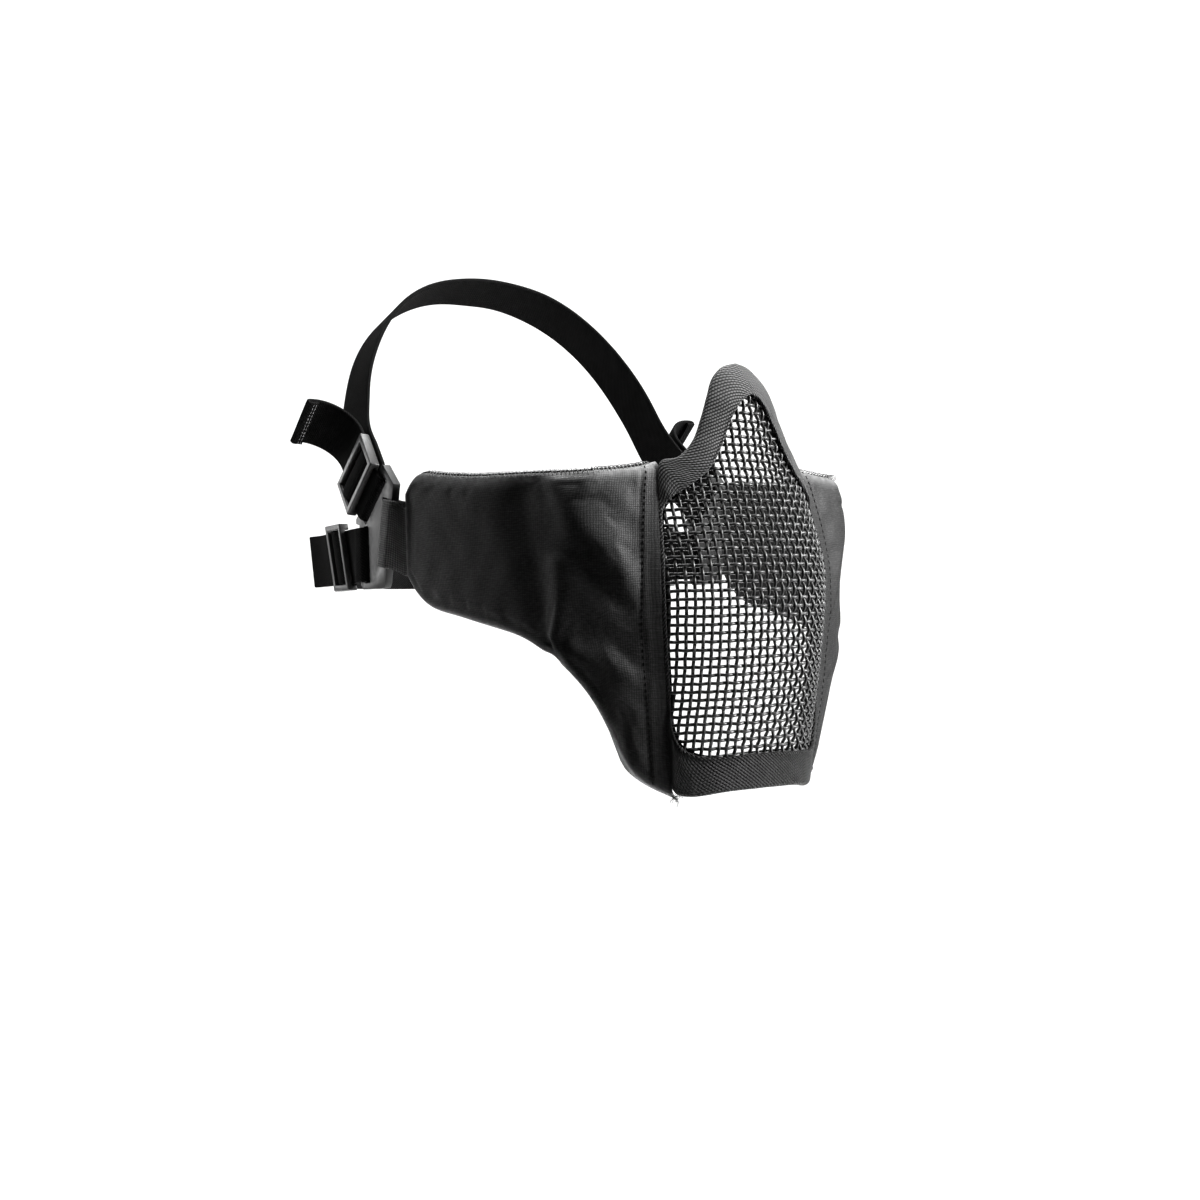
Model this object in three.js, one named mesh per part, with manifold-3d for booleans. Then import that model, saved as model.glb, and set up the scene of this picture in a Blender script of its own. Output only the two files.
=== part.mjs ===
// Half-face mask: a bulged panel of woven steel wire edged with twill tape, two padded nylon
// cheek wings, and two elastic straps that pass round the back of the head through three-slot
// buckles and tri-glide sliders.
//
// Millimetres. +X is the wearer's left, -Y the way the wearer faces, +Z up. While it is being
// modelled, z = 0 is the lower edge of the panel and X = Y = 0 the middle of the wearer's head.
// At the end the whole mask is moved so that its origin is the seat on the bridge of the nose.

import * as THREE from "three";
import { mergeVertices } from "three/addons/utils/BufferGeometryUtils.js";
import Module from "manifold-3d";

const wasm = await Module();
wasm.setup();

// ---------------------------------------------------------------- driving dimensions

const GAP = 0.3; // between touching pieces
const MESH_THICKNESS = 1.6; // two crimped wires, one over the other
const TAPE_THICKNESS = 1.0;
const SIDE_TAPE = 2.4; // width of tape left showing beside the cheek hem
const GROOVE_DEPTH = 0.55; // share of the tape's width that the wire panel reaches into it
const WIRE = 2.4; // the panel's bars stand for two or three wires each
const WIRE_PITCH = 7.2;
const WIRE_COLUMNS = 10;
const WIRE_ROWS = 14;
const NOSE_TRIM = 1.5; // the panel is cut flat this far below the tip of its outline
const WEBBING_THICKNESS = 1.4;
const TAB_WIDTH = 24.5;
const STRAP_WIDTH = 20;
const STRAP_THICKNESS = 1.5;
const BUCKLE_THICKNESS = 3;
const HEM_THICKNESS = 2.2;
const PAD_THICKNESS = 4.4;
const LINING_THICKNESS = 1.2;
const LINING_RISE = 0.8; // the lining stands this far above the pad's top edge

const named = (columns, rows) =>
  rows.map((row) => Object.fromEntries(columns.map((column, index) => [column, row[index]])));

// Horizontal sections of the front panel: where the cheek seam lies, and how far ahead of the
// head's middle the seam and the middle of the panel are.
const FRONT = named(["z", "seamX", "seamAhead", "middleAhead"], [
  [0, 30.6, 99.4, 112.3],
  [20, 32.4, 100.7, 117.5],
  [40, 34.5, 102.8, 122.0],
  [60, 36.4, 104.5, 124.2],
  [70, 37.0, 105.2, 124.2],
  [80, 36.7, 104.8, 123.0],
  [100, 33.7, 100.9, 117.5],
  [113, 30.8, 97.0, 114.2],
  [126, 28.0, 88.5, 112.3],
  [136, 25.5, 82.0, 110.3],
  [149, 22.0, 70.0, 101.5],
]);
const SECTION_END = Math.PI / 3; // the seam closes a sixth of an ellipse, counted from the middle

// Half of the tape loop: its outer edge and the edge of the window that it frames. Between the
// two tables it runs up the seam.
const TAPE_BELOW = named(["outerX", "outerZ", "windowX", "windowZ"], [
  [0, 2.2, 0, 14.6],
  [14, 1.8, 12, 14.3],
  [26, 0.5, 22.5, 14],
  [30.2, 3, 28.6, 17],
  [31.3, 12.5, 30.6, 24],
]);
const TAPE_SIDE_HEIGHTS = [34, 47, 60, 73, 86];
const TAPE_ABOVE = named(["outerX", "outerZ", "windowX", "windowZ"], [
  [33.4, 99, 31.4, 97],
  [30.2, 112, 27.8, 101.8],
  [25.6, 114, 22, 106],
  [20.6, 119.5, 17.3, 110.6],
  [16.8, 127, 13.4, 116.6],
  [13.8, 134.2, 9.6, 124],
  [10.2, 140.6, 6.4, 129.6],
  [5.4, 145, 3.2, 133.4],
  [0, 146.6, 0, 134.8],
]);

// Where the cheek bends, at each height.
const BEND = named(["z", "x", "ahead"], [
  [0, 52, 82],
  [30, 60.5, 86],
  [50, 64.4, 85],
  [70, 61.8, 88.4],
  [90, 59.6, 91.7],
  [113, 55.5, 95.8],
]);
// Behind the bend the cheek follows one line round the jaw: station 2, 3, ... of its length.
const JAW = named(["station", "x", "ahead"], [
  [2, 67.5, 72],
  [3, 72.5, 49],
  [4, 75.5, 29],
  [5, 77, 12],
]);
const PAD_END = 5;
// The pad's lower and upper edges. Station 0 is the seam, 1 the bend, 5 the rear edge.
const LOWER_EDGE = named(["station", "z"], [
  [0, 0.6],
  [0.24, 4],
  [0.42, 7.8],
  [0.53, 12.5],
  [0.62, 23.5],
  [0.74, 34],
  [0.9, 42.5],
  [1.04, 47.4],
  [1.3, 49.6],
  [1.6, 50.7],
  [2.3, 56.6],
  [3.3, 62.6],
  [4.2, 67],
  [4.7, 72.6],
  [5, 79],
]);
const UPPER_EDGE = named(["station", "z"], [
  [0, 113],
  [0.3, 111.2],
  [1, 109.7],
  [2, 110.2],
  [3, 111.2],
  [3.8, 112.9],
  [4.4, 114.4],
  [4.75, 112.6],
  [5, 107],
]);

// The buckle lies in a plane beside the jaw. back is measured behind the head's middle.
const BUCKLE_X = -79;
const BUCKLE_OUTLINE = named(["back", "z"], [
  [-10.4, 109.4],
  [-11, 111.4],
  [-9.7, 112.8],
  [-4.3, 118.8],
  [-3.1, 118.8],
  [15.9, 100.5],
  [15.9, 98.8],
  [13.6, 98.2],
  [13.6, 76.4],
  [12, 74.6],
  [-2.2, 74.6],
  [-3.4, 76.4],
]);
const BAR = 3.2; // width of the buckle's three bars
const FRONT_BAR = { back: -5.5, z: 94 }; // middle of the bar that the webbing tab holds
const LOWER_BAR = { back: 12, z: 87.2 };
const UPPER_BAR = { back: 4.9, z: 108.7 };
const SLOT_DEPTH = 3.2;
const FRONT_BAR_TILT = THREE.MathUtils.degToRad(12); // its upper end is the further forward
const TAB_LENGTH = 6; // from the bar's middle to the pad's rear edge
const TAB_DROP = 2; // how far the tab is pulled down at the pad

// Straps. reach is measured from the buckle's bar along the strap as seen from the side. Each
// leaves its bar at the angle climb, turns to the angle rise past its slider, and crosses the
// middle of the head at the reach round. lean is how far the slider and the free end swing in
// towards the head, cant how far their upper edge stands out. under is the height above the
// buckle's plane at which the strap runs beneath the slider's rails. bulge is 2 for an ellipse,
// more for a squarer loop.
const STRAPS = {
  upper: {
    bar: UPPER_BAR, climb: THREE.MathUtils.degToRad(46), rise: THREE.MathUtils.degToRad(70),
    lean: THREE.MathUtils.degToRad(10), cant: 0, under: 2.5, slider: 10.6,
    round: 101, bulge: 2.3,
    tail: { straight: 5.5, radius: 14, turn: THREE.MathUtils.degToRad(105) },
  },
  lower: {
    bar: LOWER_BAR, climb: 0, rise: 0,
    lean: THREE.MathUtils.degToRad(12), cant: THREE.MathUtils.degToRad(7), under: 1.2, slider: 21.4,
    round: 88, bulge: 2.05,
    tail: { straight: 10, radius: 42, turn: THREE.MathUtils.degToRad(17) },
  },
};
const RISE_START = 9; // past the slider's middle
const RISE_LENGTH = 26;
const SLIDER = { length: 17.6, width: 25, end: 2.3, rail: 2.6, bar: 3, thickness: 2.2 };

// ---------------------------------------------------------------- tables and curves

// Every column of a table at one value of its first column, on a smooth curve through the rows.
function sample(table, key, at) {
  const last = table.length - 1;
  const value = THREE.MathUtils.clamp(at, table[0][key], table[last][key]);
  let low = 0;
  while (low < last - 1 && table[low + 1][key] < value) low += 1;
  const [a, b] = [table[low], table[low + 1]];
  const span = b[key] - a[key];
  const t = (value - a[key]) / span;
  const slope = (index, column) => {
    const before = table[Math.max(index - 1, 0)];
    const after = table[Math.min(index + 1, last)];
    return (after[column] - before[column]) / (after[key] - before[key]);
  };
  const result = { [key]: value };
  for (const column of Object.keys(a)) {
    if (column === key) continue;
    const start = slope(low, column) * span;
    const end = slope(low + 1, column) * span;
    result[column] =
      (2 * t ** 3 - 3 * t ** 2 + 1) * a[column] +
      (t ** 3 - 2 * t ** 2 + t) * start +
      (3 * t ** 2 - 2 * t ** 3) * b[column] +
      (t ** 3 - t ** 2) * end;
  }
  return result;
}

const linear = (table, key, column, at) => {
  const last = table.length - 1;
  let low = 0;
  while (low < last - 1 && table[low + 1][key] < at) low += 1;
  const [a, b] = [table[low], table[low + 1]];
  const t = THREE.MathUtils.clamp((at - a[key]) / (b[key] - a[key]), 0, 1);
  return a[column] + (b[column] - a[column]) * t;
};

const steps = (from, to, count) =>
  Array.from({ length: count + 1 }, (_, index) => from + ((to - from) * index) / count);

// ---------------------------------------------------------------- closed meshes

// A closed mesh from points and triangles, turned so that its faces point outwards.
function closedMesh(points, triangles) {
  let volume = 0;
  for (const [a, b, c] of triangles) {
    volume += points[a].dot(points[b].clone().cross(points[c]));
  }
  const order = volume > 0 ? triangles : triangles.map(([a, b, c]) => [a, c, b]);
  const geometry = new THREE.BufferGeometry();
  geometry.setAttribute(
    "position",
    new THREE.Float32BufferAttribute(points.flatMap((point) => point.toArray()), 3),
  );
  geometry.setIndex(order.flat());
  const merged = mergeVertices(geometry, 1e-4);
  const kept = [];
  for (let start = 0; start < merged.index.count; start += 3) {
    const corners = [0, 1, 2].map((corner) => merged.index.getX(start + corner));
    if (new Set(corners).size === 3) kept.push(...corners);
  }
  merged.setIndex(kept);
  return merged;
}

// A solid through rings of equally many points. The halves of a ring are two faces, split the
// same way so that layers nest. Its ends meet, or each is closed by a strip between the halves.
function loft(rings, meets = false) {
  const count = rings[0].length;
  const triangles = [];
  const at = (ring, index) => (ring % rings.length) * count + (index % count);
  for (let ring = 0; ring < rings.length - (meets ? 0 : 1); ring += 1) {
    for (let index = 0; index < count; index += 1) {
      const [a, b] = [at(ring, index), at(ring, index + 1)];
      const [c, d] = [at(ring + 1, index + 1), at(ring + 1, index)];
      const first = index < count / 2;
      triangles.push(...(first ? [[a, b, c], [a, c, d]] : [[a, b, d], [b, c, d]]));
    }
  }
  if (!meets) {
    for (const [ring, flip] of [[0, true], [rings.length - 1, false]]) {
      for (let low = 0, high = count - 1; high - low > 1; low += 1, high -= 1) {
        const [a, b] = [at(ring, low), at(ring, low + 1)];
        const [c, d] = [at(ring, high - 1), at(ring, high)];
        const strip = high - low > 2 ? [[a, b, c], [a, c, d]] : [[a, b, d]];
        triangles.push(...strip.map(([p, q, r]) => (flip ? [p, r, q] : [p, q, r])));
      }
    }
  }
  return closedMesh(rings.flat(), triangles);
}

function solid(geometry) {
  const bare = geometry.clone();
  bare.deleteAttribute("normal");
  bare.deleteAttribute("uv");
  const merged = mergeVertices(bare, 1e-4);
  return new wasm.Manifold(
    new wasm.Mesh({
      numProp: 3,
      vertProperties: new Float32Array(merged.attributes.position.array),
      triVerts: new Uint32Array(merged.index.array),
    }),
  );
}

function geometryOf(manifold) {
  const { vertProperties, triVerts } = manifold.getMesh();
  const geometry = new THREE.BufferGeometry();
  geometry.setAttribute("position", new THREE.Float32BufferAttribute(vertProperties, 3));
  geometry.setIndex(Array.from(triVerts));
  return geometry;
}

// The same piece on the other side of the face.
function mirrored(geometry) {
  const copy = geometry.clone();
  copy.scale(-1, 1, 1);
  const index = copy.index.array;
  for (let start = 0; start < index.length; start += 3) {
    [index[start], index[start + 1]] = [index[start + 1], index[start]];
  }
  return copy;
}

// ---------------------------------------------------------------- front panel

// The panel's middle surface: x across, z up. A horizontal section is part of an ellipse.
function frontPoint(x, z) {
  const row = sample(FRONT, "z", z);
  const sine = THREE.MathUtils.clamp((x / row.seamX) * Math.sin(SECTION_END), -1, 1);
  const drop = (1 - Math.sqrt(1 - sine * sine)) / (1 - Math.cos(SECTION_END));
  const ahead = row.middleAhead - (row.middleAhead - row.seamAhead) * drop;
  return new THREE.Vector3(x, -ahead, z);
}

function frontNormal(x, z) {
  const step = 0.5;
  const across = frontPoint(x + step, z).sub(frontPoint(x - step, z));
  const up = frontPoint(x, z + step).sub(frontPoint(x, z - step));
  return across.cross(up).normalize();
}

const offFront = (x, z, offset) =>
  frontPoint(x, z).addScaledVector(frontNormal(x, z), offset);

// Half of the tape loop, bottom middle to nose top, as rows with a running number.
function tapeRows() {
  const seam = (z) => sample(FRONT, "z", z).seamX - GAP;
  const sides = TAPE_SIDE_HEIGHTS.map((z) => ({
    outerX: seam(z),
    outerZ: z,
    windowX: seam(z) - SIDE_TAPE,
    windowZ: z,
  }));
  return [...TAPE_BELOW, ...sides, ...TAPE_ABOVE].map((row, run) => ({ run, ...row }));
}

const TAPE = tapeRows();
const TAPE_END = TAPE.length - 1;

// A point of the tape: share 0 is its outer edge, 1 the window's edge.
function tapePlace(run, share) {
  const side = run < 0 ? -1 : 1;
  const row = sample(TAPE, "run", Math.abs(run));
  return {
    x: side * (row.outerX + (row.windowX - row.outerX) * share),
    z: row.outerZ + (row.windowZ - row.outerZ) * share,
  };
}

// Half-width at each height of the line that runs along the tape at one share of its width.
function tapeOutline(share) {
  const places = steps(0, TAPE_END, TAPE_END * 4).map((run) => tapePlace(run, share));
  const outline = [];
  for (const { x, z } of places) {
    const above = outline[outline.length - 1];
    if (above && z - above.z < 0.05) {
      above.x = Math.max(above.x, x);
    } else {
      outline.push({ z, x });
    }
  }
  return outline;
}

const WINDOW_OUTLINE = tapeOutline(1);
const PANEL_OUTLINE = tapeOutline(1 - GROOVE_DEPTH);

// The wire panel as a grid of cells whose lines are the edges of its gaps. Cells of no width
// fall away where the grid's lines meet the window's edge. Grown and unpierced, it cuts the
// tape's groove.
function wirePanel({ thickness, growth, pierced }) {
  const [lowest, highest] = [WINDOW_OUTLINE[0].z, WINDOW_OUTLINE[WINDOW_OUTLINE.length - 1].z];
  const rise = (highest - lowest) / WIRE_ROWS;
  const heights = [PANEL_OUTLINE[0].z];
  for (let row = 0; row < WIRE_ROWS; row += 1) {
    heights.push(lowest + rise * row + WIRE / 2, lowest + rise * (row + 1) - WIRE / 2);
  }
  heights.push(PANEL_OUTLINE[PANEL_OUTLINE.length - 1].z - NOSE_TRIM);
  const edges = steps(-WIRE_COLUMNS / 2, WIRE_COLUMNS / 2, WIRE_COLUMNS)
    .flatMap((column) => [column * WIRE_PITCH - WIRE / 2, column * WIRE_PITCH + WIRE / 2])
    .slice(1, -1);
  const lines = heights.map((height, index) => {
    const half = linear(PANEL_OUTLINE, "z", "x", height);
    const end = (index === heights.length - 1) - (index === 0);
    const limit = end ? half * 0.8 : Math.min(linear(WINDOW_OUTLINE, "z", "x", height), half);
    const window = limit - WIRE / 4;
    const margin = (half + window) / 2;
    const inner = edges.map((x) => THREE.MathUtils.clamp(x, -window, window));
    const across = [-half - growth, -margin, ...inner, margin, half + growth];
    return { z: height + end * growth, across };
  });
  const columns = lines[0].across.length;
  const open = (row, column) => {
    if (row < 0 || column < 0 || row > lines.length - 2 || column > columns - 2) return true;
    const wide = (line) => lines[line].across[column + 1] - lines[line].across[column] > WIRE / 2;
    return pierced && row % 2 === 1 && column % 2 === 0 && wide(row) && wide(row + 1);
  };
  const place = (offset) => ({ z, across }) => across.map((x) => offFront(x, z, offset));
  const points = [thickness / 2, -thickness / 2].flatMap((offset) => lines.flatMap(place(offset)));
  const layer = lines.length * columns;
  const triangles = [];
  const quad = (a, b, c, d) => triangles.push([a, b, c], [a, c, d]);
  for (let row = 0; row < lines.length - 1; row += 1) {
    for (let column = 0; column < columns - 1; column += 1) {
      if (open(row, column)) continue;
      const [a, b] = [row * columns + column, row * columns + column + 1];
      const [d, c] = [a + columns, b + columns];
      quad(a, b, c, d);
      quad(a + layer, d + layer, c + layer, b + layer);
      if (open(row - 1, column)) quad(a, a + layer, b + layer, b);
      if (open(row + 1, column)) quad(c, c + layer, d + layer, d);
      if (open(row, column - 1)) quad(d, d + layer, a + layer, a);
      if (open(row, column + 1)) quad(b, b + layer, c + layer, c);
    }
  }
  return closedMesh(points, triangles);
}

const meshShield = () => wirePanel({ thickness: MESH_THICKNESS, growth: 0, pierced: true });

// Twill tape folded over the panel's edge, with the panel in its groove.
function faceBinding() {
  const depth = MESH_THICKNESS / 2 + GAP + TAPE_THICKNESS;
  const shares = steps(0, 1, 3);
  const right = steps(-TAPE_END, 0, TAPE_END * 2);
  const left = steps(0, TAPE_END, TAPE_END * 2);
  const rings = [...right.slice(0, -1), ...left.slice(0, -1)].map((run) => {
    const places = shares.map((share) => tapePlace(run, share));
    const front = places.map(({ x, z }) => offFront(x, z, depth));
    const back = places.map(({ x, z }) => offFront(x, z, -depth)).reverse();
    return [...front, ...back];
  });
  const groove = wirePanel({
    thickness: MESH_THICKNESS + 2 * GAP,
    growth: 2 * GAP,
    pierced: false,
  });
  return geometryOf(solid(loft(rings, true)).subtract(solid(groove)));
}

// ---------------------------------------------------------------- cheek wings

// The right cheek's outer surface, by station along its length and height.
function cheekPoint(station, z) {
  const front = sample(FRONT, "z", z);
  const bend = sample(BEND, "z", z);
  const seam = { x: front.seamX + GAP, ahead: front.seamAhead };
  if (station <= 1) {
    const x = seam.x + (bend.x - seam.x) * station;
    const ahead = seam.ahead + (bend.ahead - seam.ahead) * station;
    return new THREE.Vector3(-x, -ahead, z);
  }
  const { x, ahead } = sample([{ station: 1, x: bend.x, ahead: bend.ahead }, ...JAW], "station", station);
  return new THREE.Vector3(-x, -ahead, z);
}

function cheekNormal(station, z) {
  const step = 0.15;
  const along = cheekPoint(Math.min(station + step, PAD_END), z)
    .sub(cheekPoint(Math.max(station - step, 0), z));
  const up = new THREE.Vector3(0, 0, 1);
  return along.cross(up).normalize();
}

const CHEEK_STATIONS = [
  0, 0.12, 0.24, 0.36, 0.46, 0.53, 0.6, 0.67, 0.76, 0.86, 0.96, 1.08, 1.3, 1.6, 2, 2.5, 3, 3.5, 4,
  4.4, 4.7, 4.87, 5,
];
const CHEEK_LEVELS = 8;

// A layer of a cheek wing between two depths below its outer surface, which depend on how far
// a place is from the hem. It stands above the pad's top edge by rise.
function cheekLayer(outerDepth, innerDepth, rise) {
  const rings = CHEEK_STATIONS.map((station) => {
    const low = sample(LOWER_EDGE, "station", station).z;
    const high = sample(UPPER_EDGE, "station", station).z;
    const along = Math.max(0, Math.min(1, station / 0.5, (PAD_END - station) / 0.5));
    const rows = steps(0, 1, CHEEK_LEVELS).map((level) => ({
      z: low + (high - low) * level,
      fullness: along * Math.sin(Math.PI * level) ** 0.6,
    }));
    if (rise) rows.push({ z: high + rise, fullness: 0 });
    const skin = (depth) =>
      rows.map(({ z, fullness }) =>
        cheekPoint(station, z).addScaledVector(cheekNormal(station, z), depth(fullness)));
    return [...skin(outerDepth), ...skin(innerDepth).reverse()];
  });
  return loft(rings);
}

const padDepth = (fullness) => HEM_THICKNESS + (PAD_THICKNESS - HEM_THICKNESS) * fullness;

const cheekPad = () => cheekLayer(() => 0, padDepth, 0);

const cheekLining = () =>
  cheekLayer(
    (fullness) => padDepth(fullness) + GAP,
    (fullness) => padDepth(fullness) + GAP + LINING_THICKNESS,
    LINING_RISE,
  );

// ---------------------------------------------------------------- straps, sliders and buckles

// A flat band of even thickness. Each point of its line has an outward distance x and a reach,
// and the function that puts a point of the band in its place.
function band(line, thickness, width) {
  const rings = line.map(({ x, reach, place }, index) => {
    const before = line[Math.max(index - 1, 0)];
    const after = line[Math.min(index + 1, line.length - 1)];
    const along = new THREE.Vector2(after.x - before.x, after.reach - before.reach).normalize();
    const corner = (side, across) =>
      place(x - (side * along.y * thickness) / 2, reach + (side * along.x * thickness) / 2, across);
    return [
      corner(1, -width / 2),
      corner(1, width / 2),
      corner(-1, width / 2),
      corner(-1, -width / 2),
    ];
  });
  return loft(rings);
}

// Puts the points of a strap in their places: straight at the angle climb as far as its slider,
// then turning to the angle rise.
function strapPlace({ bar, climb, rise, slider, lean, cant, round }) {
  const turnStart = slider + RISE_START;
  const step = 1;
  const angleAt = (reach) =>
    climb + (rise - climb) * THREE.MathUtils.smoothstep(reach, turnStart, turnStart + RISE_LENGTH);
  const cantAt = (reach) =>
    cant * THREE.MathUtils.smoothstep(reach, 3, 9) *
    (1 - THREE.MathUtils.smoothstep(reach, turnStart, round));
  return (x, reach, across) => {
    const stand = across * Math.cos(cantAt(reach));
    const out = across * Math.sin(cantAt(reach));
    const along = reach + out * Math.sin(lean);
    let [back, z] = [bar.back, bar.z];
    const whole = Math.max(Math.floor(along / step), 0);
    for (let count = 0; count < whole; count += 1) {
      back += step * Math.cos(angleAt((count + 0.5) * step));
      z += step * Math.sin(angleAt((count + 0.5) * step));
    }
    const angle = angleAt(along);
    const rest = along - whole * step;
    return new THREE.Vector3(
      x + Math.sign(x) * out * Math.cos(lean),
      back + rest * Math.cos(angle) - stand * Math.sin(angle),
      z + rest * Math.sin(angle) + stand * Math.cos(angle),
    );
  };
}

// A layer round a bar, in at the outer face and back at the inner one. outer and inner are how
// far it is bent round the bar's near corners on those two sides.
function wrap(thickness, outer, inner, place) {
  const clear = GAP + thickness / 2;
  const at = (side, end, angle) => ({
    x: BUCKLE_X - side * (BUCKLE_THICKNESS / 2 + clear * Math.cos(angle)),
    reach: end * (BAR / 2 + clear * Math.sin(angle)),
    place,
  });
  const quarter = steps(0, Math.PI / 2, 3);
  return [
    ...(outer ? [at(1, 1, outer)] : []),
    at(1, 1, 0),
    ...quarter.map((angle) => at(1, -1, angle)),
    ...quarter.map((angle) => at(-1, -1, Math.PI / 2 - angle)),
    at(-1, 1, 0),
    at(-1, 1, inner),
  ];
}

// Heights above the buckle's plane at a slider, outwards positive.
const MAIN_OUT = -1.4; // the layer that lies on the head
const MIDDLE_BAR_THICKNESS = 2;
const railOut = ({ under }) => under + STRAP_THICKNESS / 2 + GAP + SLIDER.thickness / 2;
const barOut = (size) => railOut(size) - 1.6;
const overOut = (size) => barOut(size) + MIDDLE_BAR_THICKNESS / 2 + GAP + STRAP_THICKNESS / 2;

// A point of a strap's end by its height above the buckle's plane and its distance from the
// bar, both before the end leans in.
function leaning({ lean }, out, along) {
  const [cosine, sine] = [Math.cos(lean), Math.sin(lean)];
  return { x: BUCKLE_X - out * cosine + along * sine, reach: along * cosine + out * sine };
}

// One end of a strap on the right, from its free end to where it starts round the head.
function strapEnd(size) {
  const { slider, tail, under } = size;
  const place = strapPlace({ ...size, rise: size.climb });
  const side = (out, along) => ({ ...leaning(size, out, along), place });
  const half = SLIDER.length / 2;
  const bend = slider + half + tail.straight;
  const free = steps(tail.turn, 0, 8).map((angle) =>
    side(under + tail.radius * (1 - Math.cos(angle)), bend + tail.radius * Math.sin(angle)),
  );
  const [slotFar, slotNear] = [5.6, 2.3]; // the strap crosses the slider's slots between these
  const weave = [
    side(under, slider + half),
    side(under, slider + slotFar),
    side(overOut(size), slider + slotNear),
    side(overOut(size), slider - slotNear),
    side(under, slider - slotFar),
    side(under, slider - half + 0.2),
  ];
  const lead = [side(MAIN_OUT, Math.max(slider - half, 5)), side(MAIN_OUT, slider + half)];
  const outer = under > BUCKLE_THICKNESS / 2 ? 0 : Math.PI / 3;
  return [...free, ...weave, ...wrap(STRAP_THICKNESS, outer, Math.PI / 3, place), ...lead];
}

function strap(key) {
  const size = STRAPS[key];
  const place = strapPlace(size);
  const power = 2 / size.bulge;
  const from = leaning(size, MAIN_OUT, size.slider + RISE_START);
  const start = Math.asin((from.reach / size.round) ** (1 / power));
  const width = from.x / Math.cos(start) ** power;
  const round = steps(start, Math.PI / 2, 18).map((angle) => ({
    x: width * Math.cos(angle) ** power,
    reach: size.round * Math.sin(angle) ** power,
    place,
  }));
  const right = [...strapEnd(size), ...round];
  const left = right.slice(0, -1).reverse().map((point) => ({ ...point, x: -point.x }));
  return band([...right, ...left], STRAP_THICKNESS, STRAP_WIDTH);
}

// A slider: two rails and a middle bar across the strap, joined by an end piece on each side.
function slider(key) {
  const size = STRAPS[key];
  const { length, width, end, rail, bar, thickness } = SLIDER;
  const [rails, middle] = [railOut(size), barOut(size)];
  const box = (depth, along, across, out, reach, offset) => {
    const geometry = new THREE.BoxGeometry(depth, along, across);
    return geometry.translate(-out, size.slider + reach, offset);
  };
  const pieces = [box(MIDDLE_BAR_THICKNESS, bar, width - end, middle, 0, 0)];
  const [low, high] = [middle - MIDDLE_BAR_THICKNESS / 2, rails + thickness / 2];
  for (const side of [-1, 1]) {
    pieces.push(box(thickness, rail, width - end, rails, (side * (length - rail)) / 2, 0));
    pieces.push(box(high - low, length, end, (high + low) / 2, 0, (side * (width - end)) / 2));
  }
  const joined = geometryOf(wasm.Manifold.union(pieces.map(solid)));
  const canted = new THREE.Matrix4().makeBasis(
    new THREE.Vector3(1, 0, 0),
    new THREE.Vector3(0, 1, 0),
    new THREE.Vector3(-Math.sin(size.cant), 0, Math.cos(size.cant)),
  );
  joined.applyMatrix4(canted).rotateZ(-size.lean).rotateX(size.climb);
  return joined.translate(BUCKLE_X, size.bar.back, size.bar.z);
}

// A slot beside a bar, before it along the band (-1) or behind it (1).
function slot({ back, z }, climb, side, length) {
  const geometry = new THREE.BoxGeometry(BUCKLE_THICKNESS * 2, SLOT_DEPTH, length);
  geometry.translate(0, (side * (BAR + SLOT_DEPTH)) / 2, 0);
  geometry.rotateX(climb);
  return geometry.translate(BUCKLE_X, back, z);
}

function threeWayBuckle() {
  const shape = new THREE.Shape(BUCKLE_OUTLINE.map(({ back, z }) => new THREE.Vector2(back, z)));
  const plate = new THREE.ExtrudeGeometry(shape, { depth: BUCKLE_THICKNESS, bevelEnabled: false });
  const stand = new THREE.Matrix4().makeBasis(
    new THREE.Vector3(0, 1, 0),
    new THREE.Vector3(0, 0, 1),
    new THREE.Vector3(1, 0, 0),
  );
  plate.applyMatrix4(stand).translate(BUCKLE_X - BUCKLE_THICKNESS / 2, 0, 0);
  const slots = [
    slot(FRONT_BAR, FRONT_BAR_TILT, 1, TAB_WIDTH + 2 * GAP),
    slot(LOWER_BAR, STRAPS.lower.climb, -1, STRAP_WIDTH + 2 * GAP),
    slot(UPPER_BAR, STRAPS.upper.climb, -1, STRAP_WIDTH + 2 * GAP),
  ];
  return geometryOf(solid(plate).subtract(wasm.Manifold.union(slots.map(solid))));
}

// Webbing folded round the buckle's front bar, both ends meeting the pad's rear edge. It tilts
// as the bar does and comes upright at the pad.
function webbingTab() {
  const [cosine, sine] = [Math.cos(FRONT_BAR_TILT), Math.sin(FRONT_BAR_TILT)];
  const place = (x, reach, across) => {
    const share = THREE.MathUtils.smoothstep(reach, TAB_LENGTH / 2, TAB_LENGTH);
    const tilt = FRONT_BAR_TILT * (1 - share);
    const back = FRONT_BAR.back - reach * cosine - across * Math.sin(tilt);
    const z = FRONT_BAR.z - reach * sine - TAB_DROP * share + across * Math.cos(tilt);
    return new THREE.Vector3(x, back, z);
  };
  const height = FRONT_BAR.z - TAB_LENGTH * sine - TAB_DROP;
  const rim = cheekPoint(PAD_END, height);
  const inward = cheekNormal(PAD_END, height);
  const at = (depth, away) => ({
    x: rim.x + inward.x * depth - inward.y * away,
    reach: (FRONT_BAR.back - rim.y - inward.y * depth - inward.x * away) / cosine,
    place,
  });
  const spread = (WEBBING_THICKNESS + GAP) / 2;
  const middle = (HEM_THICKNESS + GAP + LINING_THICKNESS) / 2;
  const bent = Math.PI / 4;
  const line = [
    at(middle - spread, GAP),
    at(middle - spread, 4 * GAP),
    ...wrap(WEBBING_THICKNESS, bent, bent, place),
    at(middle + spread, 4 * GAP),
    at(middle + spread, GAP),
  ];
  return band(line, WEBBING_THICKNESS, TAB_WIDTH);
}

// ---------------------------------------------------------------- materials and assembly

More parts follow.
